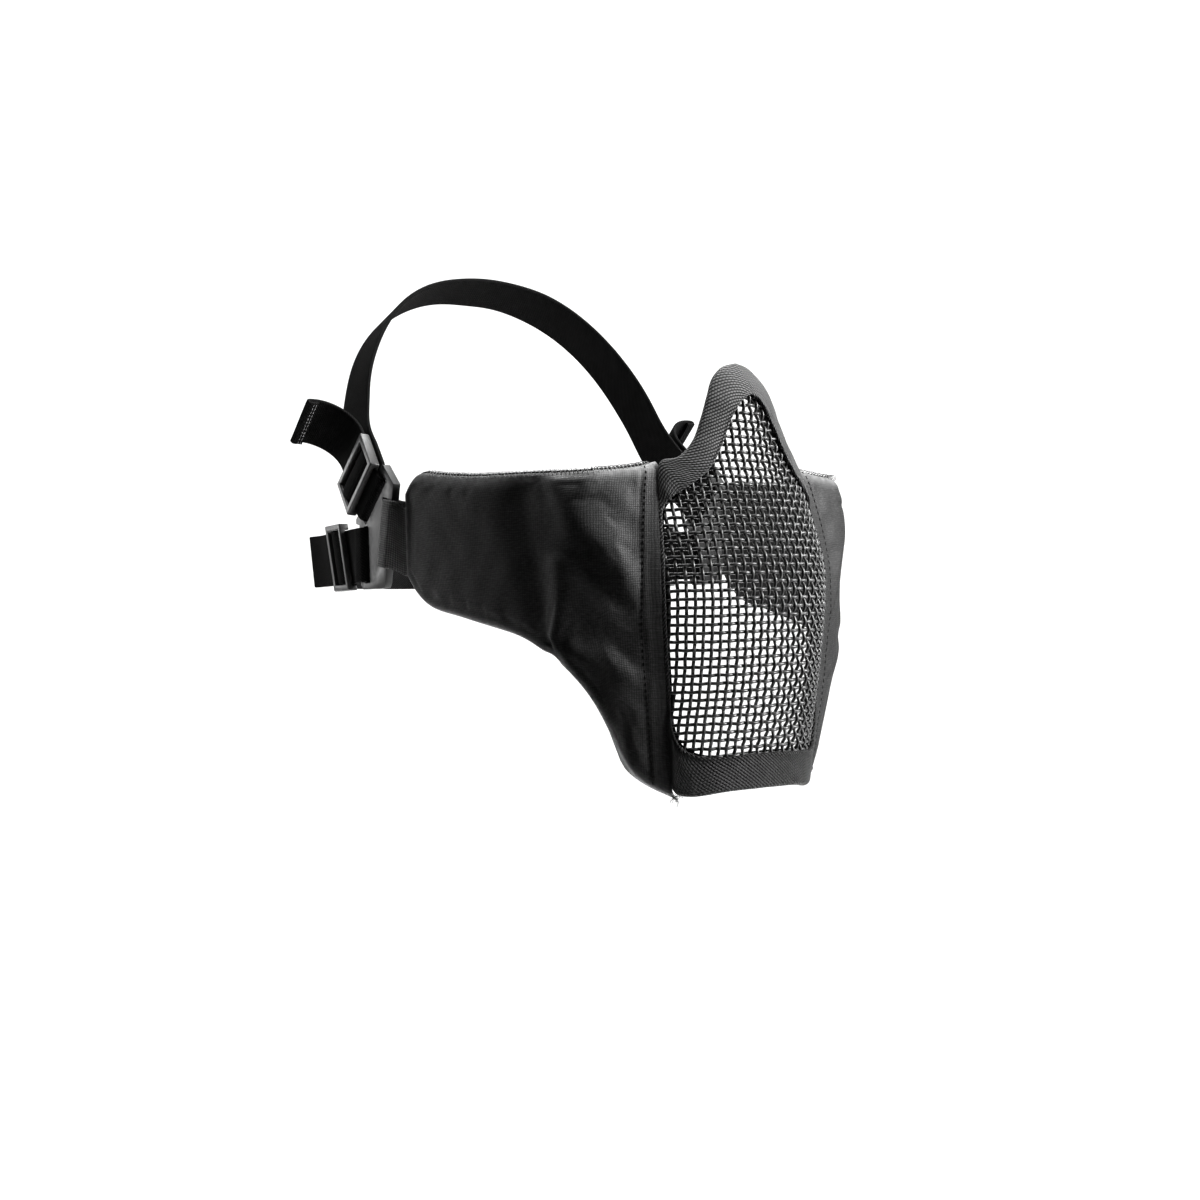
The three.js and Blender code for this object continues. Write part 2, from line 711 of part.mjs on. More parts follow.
const finish = (color, roughness, metalness = 0) =>
  new THREE.MeshStandardMaterial({ color, roughness, metalness });

const BLACK_WIRE = finish(0x2e2e30, 0.45, 0.6);
const TWILL_TAPE = finish(0x2b2b2c, 0.9);
const NYLON = finish(0x1c1c1d, 0.85);
const FLEECE = finish(0x2a2a2b, 1);
const WEBBING = finish(0x1b1b1c, 0.85);
const ELASTIC = finish(0x141415, 0.9);
const PLASTIC = finish(0x3a3a3c, 0.5);

const mask = new THREE.Group();

function add(name, geometry, material) {
  const mesh = new THREE.Mesh(geometry, material);
  mesh.name = name;
  mask.add(mesh);
}

function addPair(name, geometry, material) {
  add(`${name}_right`, geometry, material);
  add(`${name}_left`, mirrored(mergeVertices(geometry)), material);
}

add("mesh_shield", meshShield(), BLACK_WIRE);
add("face_binding", faceBinding(), TWILL_TAPE);
addPair("cheek_pad", cheekPad(), NYLON);
addPair("cheek_lining", cheekLining(), FLEECE);
addPair("webbing_tab", webbingTab(), WEBBING);
addPair("three_way_buckle", threeWayBuckle(), PLASTIC);
for (const key of ["upper", "lower"]) {
  add(`${key}_strap`, strap(key), ELASTIC);
  addPair(`${key}_slider`, slider(key), PLASTIC);
}

// The origin is the inner face of the tape at the top of the nose arch, where the mask rests on
// the bridge of the nose.
const NOSE_SEAT = offFront(0, TAPE_ABOVE[TAPE_ABOVE.length - 1].outerZ,
  -(MESH_THICKNESS / 2 + GAP + TAPE_THICKNESS));
mask.position.copy(NOSE_SEAT).negate();

export default mask;
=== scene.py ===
"""The looks of a half-face mask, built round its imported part.

The mask is a bulged panel of woven steel wire edged with twill tape, two padded nylon cheek
wings with a brushed lining, and two elastic straps with their buckles and sliders.
"""

import logging
import math
from collections.abc import Callable, Sequence
from dataclasses import dataclass, field
from enum import Enum

import bmesh
import bpy
import numpy as np
from mathutils import Matrix, Vector


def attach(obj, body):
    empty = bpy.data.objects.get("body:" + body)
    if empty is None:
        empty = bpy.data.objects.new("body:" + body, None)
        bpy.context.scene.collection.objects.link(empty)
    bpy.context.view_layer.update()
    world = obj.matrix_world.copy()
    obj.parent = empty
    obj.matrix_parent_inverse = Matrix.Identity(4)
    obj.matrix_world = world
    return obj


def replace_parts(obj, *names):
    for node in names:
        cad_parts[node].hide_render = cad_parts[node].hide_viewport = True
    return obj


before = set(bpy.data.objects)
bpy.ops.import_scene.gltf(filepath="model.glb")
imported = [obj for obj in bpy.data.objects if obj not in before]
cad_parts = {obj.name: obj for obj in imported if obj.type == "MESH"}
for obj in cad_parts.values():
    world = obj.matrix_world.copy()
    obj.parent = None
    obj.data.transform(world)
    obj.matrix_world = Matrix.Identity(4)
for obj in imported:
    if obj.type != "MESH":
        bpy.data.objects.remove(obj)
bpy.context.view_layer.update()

log = logging.getLogger("mask")
MM = 0.001
Array = np.ndarray
Node = bpy.types.Node
Socket = bpy.types.NodeSocket
Piece = bpy.types.Object


class Side(Enum):
    """The wearer's two sides, with the sign of X on each."""

    RIGHT = -1
    LEFT = 1

    @property
    def label(self) -> str:
        """The side's name as the CAD nodes spell it."""
        return self.name.lower()


# ---------------- tables and surfaces


def curved(t: Array, first: Array, leaving: Array, second: Array, arriving: Array) -> Array:
    """A smooth step from one value to the next.

    Args:
        t: The share of the step, from 0 to 1.
        first: The value at its start.
        leaving: The slope there, over the whole step.
        second: The value at its end.
        arriving: The slope there.

    Returns:
        The values at t.
    """
    return (
        (2 * t**3 - 3 * t**2 + 1) * first
        + (t**3 - 2 * t**2 + t) * leaving
        + (3 * t**2 - 2 * t**3) * second
        + (t**3 - t**2) * arriving
    )


@dataclass(frozen=True)
class Table:
    """Rows of numbers read on a smooth curve through them. The first column is the key."""

    columns: tuple[str, ...]
    rows: tuple[tuple[float, ...], ...]

    def at(self, key: Array | float) -> dict[str, Array]:
        """Reads every column at some values of the key.

        Args:
            key: Values of the first column, held within the table's ends.

        Returns:
            The columns by name, each shaped as key is.
        """
        rows = np.array(self.rows, float)
        keys, last = rows[:, 0], len(rows) - 1
        value = np.clip(np.asarray(key, float), keys[0], keys[-1])
        low = np.clip(np.searchsorted(keys, value, side="left") - 1, 0, last - 1)
        before, after = np.maximum(np.arange(last + 1) - 1, 0), np.minimum(np.arange(last + 1) + 1, last)
        slopes = (rows[after] - rows[before]) / (keys[after] - keys[before])[:, None]
        span = keys[low + 1] - keys[low]
        t = ((value - keys[low]) / span)[..., None]
        leaving, arriving = slopes[low] * span[..., None], slopes[low + 1] * span[..., None]
        found = curved(t, rows[low], leaving, rows[low + 1], arriving)
        return {name: found[..., index] for index, name in enumerate(self.columns)}


def bell(value: Array, width: Array | float) -> Array:
    """A bell-shaped bump: 1 at 0, and nearly 0 at twice the width."""
    return np.exp(-((value / width) ** 2))


def smooth(value: Array | float, low: float, high: float) -> Array:
    """Rises smoothly from 0 at low to 1 at high."""
    t = np.clip((np.asarray(value, float) - low) / (high - low), 0, 1)
    return t * t * (3 - 2 * t)


def unit(vectors: Array) -> Array:
    """The same vectors at length 1."""
    return vectors / np.maximum(np.linalg.norm(vectors, axis=-1, keepdims=True), 1e-12)


def running(points: Array) -> Array:
    """Distance along a line of points, counted from its first."""
    return np.concatenate([[0.0], np.cumsum(np.linalg.norm(np.diff(points, axis=0), axis=1))])


def round_section(across: Array, height: Array) -> Array:
    """Distance round a closed section: at each of its points, and back at the first."""
    steps = np.hypot(np.diff(across, append=across[0]), np.diff(height, append=height[0]))
    return np.concatenate([[0.0], np.cumsum(steps)])


def to_segment(u: Array, z: Array, start: Array, end: Array) -> tuple[Array, Array]:
    """Measures how far places are from a straight stretch of line.

    Args:
        u: The places' first coordinate.
        z: Their second.
        start: The stretch's first point.
        end: Its last.

    Returns:
        Each place's distance, and the share of the stretch that is nearest to it.
    """
    course = end - start
    share = ((u - start[0]) * course[0] + (z - start[1]) * course[1]) / max(course @ course, 1e-9)
    share = np.clip(share, 0, 1)
    return np.hypot(u - start[0] - course[0] * share, z - start[1] - course[1] * share), share


def resampled(points: Array, step: float) -> Array:
    """Spaces out a line.

    Args:
        points: The line's points.
        step: About how far apart the new ones are.

    Returns:
        Points at even steps along the line.
    """
    along = running(points)
    places = np.linspace(0, along[-1], max(int(round(along[-1] / step)), 2) + 1)
    return np.stack([np.interp(places, along, points[:, axis]) for axis in range(points.shape[1])], 1)


@dataclass(frozen=True)
class FrontSurface:
    """The middle surface of the wire panel, in millimetres above the mask's lower edge."""

    sections: Table = Table(
        ("z", "seam_x", "seam_ahead", "middle_ahead"),
        (
            (0, 30.6, 99.4, 112.3), (20, 32.4, 100.7, 117.5), (40, 34.5, 102.8, 122.0),
            (60, 36.4, 104.5, 124.2), (70, 37.0, 105.2, 124.2), (80, 36.7, 104.8, 123.0),
            (100, 33.7, 100.9, 117.5), (113, 30.8, 97.0, 114.2), (126, 28.0, 88.5, 112.3),
            (136, 25.5, 82.0, 110.3), (149, 22.0, 70.0, 101.5),
        ),
    )
    section_end: float = math.pi / 3

    def point(self, x: Array, z: Array) -> Array:
        """Points of the surface at places across and up it."""
        row = self.sections.at(z)
        sine = np.clip(x / row["seam_x"] * math.sin(self.section_end), -1, 1)
        drop = (1 - np.sqrt(1 - sine**2)) / (1 - math.cos(self.section_end))
        ahead = row["middle_ahead"] - (row["middle_ahead"] - row["seam_ahead"]) * drop
        return np.stack(np.broadcast_arrays(x, -ahead, z), -1)

    def normal(self, x: Array, z: Array) -> Array:
        """Directions straight out of the surface, away from the face."""
        step = 0.5
        across = self.point(x + step, z) - self.point(x - step, z)
        up = self.point(x, z + step) - self.point(x, z - step)
        return unit(np.cross(across, up))

    def off(self, x: Array, z: Array, height: Array | float) -> Array:
        """Points at a height above the surface."""
        return self.point(x, z) + self.normal(x, z) * np.asarray(height, float)[..., None]


@dataclass(frozen=True)
class TapeLoop:
    """The course of the tape round the panel: one half, from the middle below to the nose."""

    front: FrontSurface = FrontSurface()
    below: tuple[tuple[float, ...], ...] = (
        (0, 2.2, 0, 14.6), (14, 1.8, 12, 14.3), (26, 0.5, 22.5, 14), (30.2, 3, 28.6, 17),
        (31.3, 12.5, 31.4, 24),
    )
    side_heights: tuple[float, ...] = (34, 47, 60, 73, 86)  # where it runs beside the wings
    above: tuple[tuple[float, ...], ...] = (
        (33.4, 99, 32.6, 97), (30.2, 112, 27.8, 101.8), (25.6, 114, 22, 106),
        (20.6, 119.5, 17.3, 110.6), (16.8, 127, 13.4, 116.6), (13.8, 134.2, 9.6, 124),
        (10.2, 140.6, 6.4, 129.6), (5.4, 145, 3.2, 133.4), (0, 146.6, 0, 134.8),
    )
    side_width: float = 0.95
    gap: float = 0.3

    @property
    def table(self) -> Table:
        """The whole half by running number: outer edge and window edge."""
        seam = self.front.sections.at(np.array(self.side_heights))["seam_x"] - self.gap
        sides = tuple((x, z, x - self.side_width, z) for x, z in zip(seam, self.side_heights))
        rows = (*self.below, *sides, *self.above)
        return Table(
            ("run", "outer_x", "outer_z", "window_x", "window_z"),
            tuple((run, *row) for run, row in enumerate(rows)),
        )

    @property
    def end(self) -> int:
        """The running number at the top of the nose."""
        return len(self.below) + len(self.side_heights) + len(self.above) - 1

    def place(self, run: Array, share: Array | float) -> tuple[Array, Array]:
        """x and z of the tape: share 0 is its outer edge, 1 the window's edge."""
        row = self.table.at(np.abs(run))
        side = np.where(run < 0, -1.0, 1.0)
        x = side * (row["outer_x"] + (row["window_x"] - row["outer_x"]) * share)
        return x, row["outer_z"] + (row["window_z"] - row["outer_z"]) * share

    def outline(self, share: float) -> Array:
        """Follows one line along the tape.

        Args:
            share: The share of the tape's width that it runs at.

        Returns:
            Rows of height and half-width, from below to the nose.
        """
        x, z = self.place(np.linspace(0, self.end, self.end * 4 + 1), share)
        rows: list[list[float]] = []
        least_rise = 0.05
        for across, height in zip(x, z):
            if rows and height - rows[-1][0] < least_rise:
                rows[-1][1] = max(rows[-1][1], across)
            else:
                rows.append([height, across])
        return np.array(rows)


@dataclass(frozen=True)
class CheekSurface:
    """The outer surface of the right cheek wing, by station along it and height."""

    front: FrontSurface = FrontSurface()
    bend: Table = Table(
        ("z", "x", "ahead"),
        ((0, 52, 82), (30, 60.5, 86), (50, 64.4, 85), (70, 61.8, 88.4), (90, 59.6, 91.7), (113, 55.5, 95.8)),
    )
    jaw: tuple[tuple[float, float, float], ...] = ((2, 67.5, 72), (3, 72.5, 49), (4, 75.5, 29), (5, 77, 12))
    low: Table = Table(
        ("station", "z"),
        (
            (0, 0.6), (0.24, 4), (0.42, 7.8), (0.53, 12.5), (0.62, 23.5), (0.74, 34), (0.9, 42.5),
            (1.04, 47.4), (1.3, 49.6), (1.6, 50.7), (2.3, 56.6), (3.3, 62.6), (4.2, 67), (4.7, 72.6),
            (5, 79),
        ),
    )
    high: Table = Table(
        ("station", "z"),
        (
            (0, 113), (0.3, 111.2), (1, 109.7), (2, 110.2), (3, 111.2), (3.8, 112.9), (4.4, 114.4),
            (4.75, 112.6), (5, 107),
        ),
    )
    gap: float = 0.3
    end: float = 5.0

    def point(self, station: Array, z: Array) -> Array:
        """Finds points of the surface, straight as far back as station 1 and curved behind it.

        Args:
            station: Places along the wing, from 0 at the seam to 5 at its rear.
            z: Their heights.

        Returns:
            The points, for the right side.
        """
        station, z = np.broadcast_arrays(np.asarray(station, float), np.asarray(z, float))
        front, bend = self.front.sections.at(z), self.bend.at(z)
        seam = np.stack([front["seam_x"] + self.gap, front["seam_ahead"]], -1)
        corner = np.stack([bend["x"], bend["ahead"]], -1)
        ahead = seam + (corner - seam) * np.minimum(station, 1)[..., None]
        rest = [np.broadcast_to(np.array(row[1:], float), corner.shape) for row in self.jaw]
        knots = np.stack([corner, *rest], -2)
        count = knots.shape[-2]
        low = np.clip(np.ceil(station - 1).astype(int) - 1, 0, count - 2)
        t = np.clip(station - 1 - low, 0, 1)[..., None]

        def take(index: Array) -> Array:
            """One knot for each place."""
            return np.take_along_axis(knots, np.clip(index, 0, count - 1)[..., None, None], -2)[..., 0, :]

        def slope(index: Array) -> Array:
            """The curve's slope at one knot for each place."""
            first, second = np.maximum(index - 1, 0), np.minimum(index + 1, count - 1)
            return (take(second) - take(first)) / (second - first)[..., None]

        behind = curved(t, take(low), slope(low), take(low + 1), slope(low + 1))
        flat = np.where((station <= 1)[..., None], ahead, behind)
        return np.stack([-flat[..., 0], -flat[..., 1], z], -1)

    def inward(self, station: Array, z: Array) -> Array:
        """Directions from the surface towards the wearer's face."""
        step = 0.15
        station = np.asarray(station, float)
        rear, front = np.minimum(station + step, self.end), np.maximum(station - step, 0)
        along = self.point(rear, z) - self.point(front, z)
        return unit(np.cross(along, np.array([0.0, 0.0, 1.0])))


FRONT = FrontSurface()
LOOP = TapeLoop()
CHEEK = CheekSurface()
MESH_THICKNESS, TAPE_THICKNESS, GAP = 1.6, 1.0, 0.3
NOSE_SEAT = FRONT.off(np.array(0.0), np.array(146.6), -(MESH_THICKNESS / 2 + GAP + TAPE_THICKNESS))


def in_frame(points: Array) -> Array:
    """Millimetres from the mask's lower edge turned into metres in the mask's own frame."""
    return (points - NOSE_SEAT) * MM


def mirrored(points: Array, side: Side) -> Array:
    """Points of the right side moved to the given side."""
    return points * np.array([1.0 if side is Side.RIGHT else -1.0, 1.0, 1.0])


# ---------------- meshes


def placed(name: str, data: bpy.types.ID) -> Piece:
    """Makes an object and links it to the scene."""
    made = bpy.data.objects.new(name, data)
    bpy.context.scene.collection.objects.link(made)
    return made


def grid_cells(rows: int, columns: int) -> Array:
    """The four corners of each cell of a grid, in order round it, by their running numbers."""
    first = (np.arange(rows - 1)[:, None] * columns + np.arange(columns - 1)).ravel()
    return np.stack([first, first + 1, first + columns + 1, first + columns], 1)


def new_piece(name: str, points: Array, faces: Sequence[Sequence[int]], uvs: Array | None = None) -> Piece:
    """Makes a mesh piece and links it to the scene.

    Args:
        name: The piece's name.
        points: Vertices in metres.
        faces: Corners of each face.
        uvs: One UV for each corner, in metres of cloth, in the faces' order.

    Returns:
        The object.
    """
    mesh = bpy.data.meshes.new(name)
    mesh.from_pydata(points.reshape(-1, 3).tolist(), [], [list(face) for face in faces])
    if uvs is not None:
        layer = mesh.uv_layers.new(name="Cloth")
        layer.data.foreach_set("uv", np.asarray(uvs, np.float32).ravel())
    return placed(name, mesh)


def tidied(piece: Piece, merge: float = 1e-6, angle: float = 40.0) -> Piece:
    """Merges doubles, turns a closed piece's faces outwards and shades it smooth between creases.

    Args:
        piece: A mesh piece.
        merge: Distance in metres within which vertices are one.
        angle: Edges sharper than this many degrees stay creased.

    Returns:
        The same piece.
    """
    work = bmesh.new()
    work.from_mesh(piece.data)
    bmesh.ops.remove_doubles(work, verts=work.verts, dist=merge)
    bmesh.ops.dissolve_degenerate(work, edges=work.edges, dist=1e-8)
    bmesh.ops.recalc_face_normals(work, faces=work.faces)
    if work.calc_volume(signed=True) < 0:
        bmesh.ops.reverse_faces(work, faces=work.faces)
    limit = math.radians(angle)
    for face in work.faces:
        face.smooth = True
    for edge in work.edges:
        edge.smooth = not (len(edge.link_faces) == 2 and edge.calc_face_angle(0) > limit)
    work.to_mesh(piece.data)
    work.free()
    piece.data.update()
    return piece


def lofted(name: str, rings: Array, uvs: Array, meets: bool = False, caps: bool = True) -> Piece:
    """A tube through closed rings of points.

    Args:
        name: The piece's name.
        rings: Points shaped ring, place round it, 3, in metres.
        uvs: Cloth coordinates with one more place round, and one more ring where the ends meet.
        meets: Whether the last ring joins the first.
        caps: Whether open ends are closed by flat faces.

    Returns:
        The object, tidied.
    """
    count, around = rings.shape[:2]
    ring, place = np.divmod(grid_cells(count + 1 if meets else count, around + 1), around + 1)
    faces = (ring % count * around + place % around).tolist()
    corners = uvs[ring, place].reshape(-1, 2)
    if caps and not meets:
        for end in (0, count - 1):
            faces.append(list(range(end * around, (end + 1) * around)))
            corners = np.concatenate([corners, uvs[end, :around]])
    return tidied(new_piece(name, rings, faces, corners))


def baked(piece: Piece) -> Piece:
    """Turns a piece with modifiers into a plain mesh.

    Args:
        piece: The piece, whose modifiers are used up.

    Returns:
        The same piece.
    """
    bpy.context.view_layer.update()
    evaluated = piece.evaluated_get(bpy.context.evaluated_depsgraph_get())
    mesh = bpy.data.meshes.new_from_object(evaluated)
    piece.modifiers.clear()
    old, piece.data = piece.data, mesh
    mesh.name = piece.name
    bpy.data.meshes.remove(old)
    return piece


def dressed(piece: Piece, finish: "Finish") -> Piece:
    """Gives a piece one material and parents it to the root body.

    Args:
        piece: A finished mesh.
        finish: What it is made of.

    Returns:
        The same piece.
    """
    piece.data.materials.clear()
    piece.data.materials.append(finish.material)
    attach(piece, "root")
    triangles = sum(len(face.vertices) - 2 for face in piece.data.polygons)
    log.info("%s: %d triangles", piece.name, triangles)
    return piece


# ---------------- node trees


class Nodes:
    """A node tree being built, its sockets filled as each node is added."""

    def __init__(self, net: bpy.types.NodeTree, prefix: str) -> None:
        """Starts on a node tree, whose own types of node begin with the prefix."""
        self.net, self.prefix = net, prefix

    def plug(self, value: object, target: Socket) -> None:
        """Fills a socket.

        Args:
            value: A socket or a node, whose first live output is linked, or a plain value.
            target: The socket to fill.
        """
        if isinstance(value, Node):
            value = next(s for s in value.outputs if s.enabled)
        if isinstance(value, Socket):
            self.net.links.new(value, target)
        else:
            target.default_value = value

    def add(self, kind: str, settings: dict[str, object] | None = None, **inputs: object) -> Node:
        """Adds a node.

        Args:
            kind: The node's type, without its prefix where that is the tree's own.
            settings: Properties of the node.
            inputs: Sockets to link or values to set, by name with _ for a space, or iN for number N.

        Returns:
            The node.
        """
        full = kind if kind.startswith(("Shader", "Function")) else self.prefix + kind
        node = self.net.nodes.new(full)
        for key, value in (settings or {}).items():
            setattr(node, key, value)
        for key, value in inputs.items():
            if key[0] == "i" and key[1:].isdigit():
                target = node.inputs[int(key[1:])]
            else:
                label = key.replace("_", " ").lower()
                target = next(s for s in node.inputs if s.name.lower() == label and s.enabled)
            self.plug(value, target)
        return node

    def math(
        self, operation: str, first: object, second: object = 0.0, third: object = 0.0,
    ) -> Node:
        """Arithmetic on numbers."""
        return self.add("ShaderNodeMath", {"operation": operation}, i0=first, i1=second, i2=third)


class Tree(Nodes):
    """A geometry tree being built, with named inputs."""

    def __init__(self, name: str, inputs: Sequence[tuple[str, str]]) -> None:
        """Starts a tree.

        Args:
            name: The tree's name.
            inputs: Name and socket type of each input after the geometry.
        """
        super().__init__(bpy.data.node_groups.new(name, "GeometryNodeTree"), "GeometryNode")
        face = self.net.interface
        face.new_socket("Geometry", in_out="INPUT", socket_type="NodeSocketGeometry")
        self.inputs = {
            label: face.new_socket(label, in_out="INPUT", socket_type=f"NodeSocket{kind}").identifier
            for label, kind in inputs
        }
        face.new_socket("Geometry", in_out="OUTPUT", socket_type="NodeSocketGeometry")
        self.source = self.net.nodes.new("NodeGroupInput")
        self.sink = self.net.nodes.new("NodeGroupOutput")

    def given(self, label: str) -> Socket:
        """One of the tree's inputs."""
        return self.source.outputs[label]

    def carried(self, name: str) -> Node:
        """A vector that the guide carries."""
        return self.add("InputNamedAttribute", {"data_type": "FLOAT_VECTOR"}, Name=name)

    def vector(
        self, operation: str, first: object, second: object | None = None, scale: object | None = None,
    ) -> Node:
        """Arithmetic on vectors.

        Args:
            operation: The node's operation.
            first: Its first vector.
            second: Its second, where it takes one.
            scale: Its number, where it takes one.

        Returns:
            The node.
        """
        node = self.add("ShaderNodeVectorMath", {"operation": operation}, i0=first)
        if second is not None:
            self.plug(second, node.inputs[1])
        if scale is not None:
            self.plug(scale, node.inputs["Scale"])
        return node

    def finish(self, geometry: Node) -> None:
        """Ends the tree: real geometry, smooth, in the material that it is given."""
        real = self.add("RealizeInstances", Geometry=geometry)
        shaded = self.add("SetShadeSmooth", Geometry=real)
        covered = self.add("SetMaterial", Geometry=shaded, Material=self.given("Material"))
        self.plug(covered.outputs[0], self.sink.inputs[0])

    def grown(self, name: str, guide: Piece, values: dict[str, object]) -> Piece:
        """Runs the tree on a guide, which it uses up.

        Args:
            name: The new piece's name.
            guide: The mesh that the tree starts from.
            values: The tree's inputs by name.

        Returns:
            A plain mesh piece.
        """
        modifier = guide.modifiers.new("grow", "NODES")
        modifier.node_group = self.net
        for label, value in values.items():
            modifier[self.inputs[label]] = value
        guide.name = name
        return baked(guide)


def weave_tree() -> Tree:
    """Two sets of crimped wires over a guide surface whose UV map is the weave's whole square."""
    tree = Tree("plain_weave_of_wire", [
        ("Across", "Int"), ("Up", "Int"), ("Samples", "Int"), ("Sides", "Int"),
        ("Radius", "Float"), ("Crimp", "Float"), ("Stray", "Float"), ("Material", "Material"),
    ])
    place = tree.carried("Cloth")
    position, normal = tree.add("InputPosition"), tree.add("InputNormal")
    profile = tree.add("CurvePrimitiveCircle", Resolution=tree.given("Sides"), Radius=tree.given("Radius"))
    woven = []
    for turned in (False, True):
        wires, crossings = ("Up", "Across") if turned else ("Across", "Up")
        half_wires = tree.math("FLOOR", tree.math("MULTIPLY", tree.given(wires), 0.5))
        half_length = tree.math("MULTIPLY", tree.given(crossings), 0.5)
        first = tree.math("MULTIPLY", half_wires, -1.0)
        low = tree.math("MULTIPLY", half_length, -1.0)
        def aimed(along: object, beside: object) -> Node:
            """A place in the weave from its count along and beside the wires."""
            x, y = (along, beside) if turned else (beside, along)
            return tree.add("ShaderNodeCombineXYZ", X=x, Y=y)
        starts = tree.add(
            "MeshLine", Count=tree.given(wires), Start_Location=aimed(0.0, first), Offset=aimed(0.0, 1.0),
        )
        wire = tree.add("CurvePrimitiveLine", Start=aimed(low, 0.0), End=aimed(half_length, 0.0))
        count = tree.math("MULTIPLY", tree.given(crossings), tree.given("Samples"))
        fine = tree.add("ResampleCurve", Curve=wire, Count=tree.math("ADD", count, 1.0))
        rows = tree.add("InstanceOnPoints", Points=starts, Instance=fine)
        laid = tree.add("RealizeInstances", Geometry=rows)
        stray = tree.add(
            "ShaderNodeTexNoise", {"noise_dimensions": "3D"}, Vector=position, Scale=0.21, Detail=1.0,
        )
        either_way = tree.vector("SUBTRACT", stray.outputs["Color"], (0.5, 0.5, 0.5))
        shift = tree.vector("SCALE", either_way, scale=tree.given("Stray"))
        whole = tree.add("ShaderNodeCombineXYZ", X=tree.given("Across"), Y=tree.given("Up"), Z=1.0)
        share = tree.vector("DIVIDE", tree.vector("ADD", position, shift), whole)
        spot = tree.vector("ADD", share, (0.5, 0.5, 0.0))
        found = []
        for value in (position, normal):
            node = tree.add(
                "SampleUVSurface", {"data_type": "FLOAT_VECTOR"},
                Mesh=tree.source.outputs[0], Value=value, Sample_UV=spot,
            )
            tree.plug(place, next(s for s in node.inputs if "UV Map" in s.name))
            found.append(node)
        surface, outward = found
        outside = tree.add(
            "FunctionNodeBooleanMath", {"operation": "NOT"}, i0=surface.outputs["Is Valid"],
        )
        kept = tree.add("DeleteGeometry", {"domain": "POINT"}, Geometry=laid, Selection=outside)
        counts = tree.add("ShaderNodeSeparateXYZ", Vector=position)
        waves = [
            tree.math("COSINE", tree.math("MULTIPLY", counts.outputs[axis], math.pi)) for axis in (0, 1)
        ]
        crimp = tree.math("MULTIPLY", tree.math("MULTIPLY", *waves), tree.given("Crimp"))
        height = tree.math("MULTIPLY", crimp, -1.0 if turned else 1.0)
        lift = tree.vector("SCALE", outward.outputs["Value"], scale=height)
        raised = tree.vector("ADD", surface.outputs["Value"], lift)
        bent = tree.add("SetPosition", Geometry=kept, Position=raised)
        woven.append(tree.add("CurveToMesh", Curve=bent, Profile_Curve=profile, Fill_Caps=True))
    joined = tree.add("JoinGeometry")
    for part in woven:
        tree.plug(part.outputs[0], joined.inputs[0])
    tree.finish(joined)
    return tree


def stitch_tree() -> Tree:
    """A row of stitches along a guide line whose attribute Lift points out of the cloth."""
    tree = Tree("row_of_stitches", [
        ("Pitch", "Float"), ("Length", "Float"), ("Thread", "Float"), ("Material", "Material"),
    ])
    lift = tree.carried("Lift")
    line = tree.add("MeshToCurve", Mesh=tree.source.outputs[0])
    even = tree.add("ResampleCurve", {"mode": "LENGTH"}, Curve=line, Length=tree.given("Pitch"))
    points = tree.add("CurveToPoints", {"mode": "EVALUATED"}, Curve=even)
    stitch = tree.add("MeshUVSphere", Segments=8, Rings=6, Radius=0.5)
    thread = tree.given("Thread")
    size = tree.add("ShaderNodeCombineXYZ", X=tree.given("Length"), Y=thread, Z=thread)
    along = tree.add(
        "FunctionNodeAlignRotationToVector", {"axis": "X", "pivot_axis": "AUTO"},
        Vector=points.outputs["Tangent"],
    )
    stood = tree.add(
        "FunctionNodeAlignRotationToVector", {"axis": "Z", "pivot_axis": "X"}, Rotation=along, Vector=lift,
    )
    laid = tree.add(
        "InstanceOnPoints", Points=points.outputs[0], Instance=stitch.outputs[0], Rotation=stood, Scale=size,
    )
    tree.finish(laid)
    return tree


def fibre_tree() -> Tree:
    """Short bent fibres scattered over a guide surface."""
    tree = Tree("scattered_fibres", [
        ("Density", "Float"), ("Length", "Float"), ("Radius", "Float"),
        ("Seed", "Int"), ("Material", "Material"),
    ])
    seed = tree.given("Seed")
    spread = tree.add(
        "DistributePointsOnFaces", Mesh=tree.source.outputs[0], Density=tree.given("Density"), Seed=seed,
    )
    fibre = tree.add(
        "CurvePrimitiveBezierSegment", Resolution=3, Start=(0, 0, -0.1), Start_Handle=(0, 0, 0.45),
        End_Handle=(0.35, 0, 0.7), End=(0.75, 0.2, 0.8),
    )
    lean = tree.add(
        "FunctionNodeRandomValue", {"data_type": "FLOAT_VECTOR"},
        Min=(-1.0, -1.0, 0), Max=(1.0, 1.0, 6.28), Seed=seed,
    )
    base = tree.add(
        "FunctionNodeAlignRotationToVector", {"axis": "Z", "pivot_axis": "AUTO"},
        Vector=spread.outputs["Normal"],
    )
    turned = tree.add(
        "FunctionNodeRotateRotation", {"rotation_space": "LOCAL"}, Rotation=base, Rotate_By=lean,
    )
    tall = tree.add("FunctionNodeRandomValue", {"data_type": "FLOAT"}, Min=0.35, Max=1.0, Seed=seed)
    size = tree.math("MULTIPLY", tall, tree.given("Length"))
    stood = tree.add(
        "InstanceOnPoints", Points=spread.outputs["Points"], Instance=fibre, Rotation=turned,
        Scale=tree.add("ShaderNodeCombineXYZ", X=size, Y=size, Z=size),
    )
    real = tree.add("RealizeInstances", Geometry=stood)
    profile = tree.add("CurvePrimitiveCircle", Resolution=3, Radius=tree.given("Radius"))
    tree.finish(tree.add("CurveToMesh", Curve=real, Profile_Curve=profile, Fill_Caps=True))
    return tree


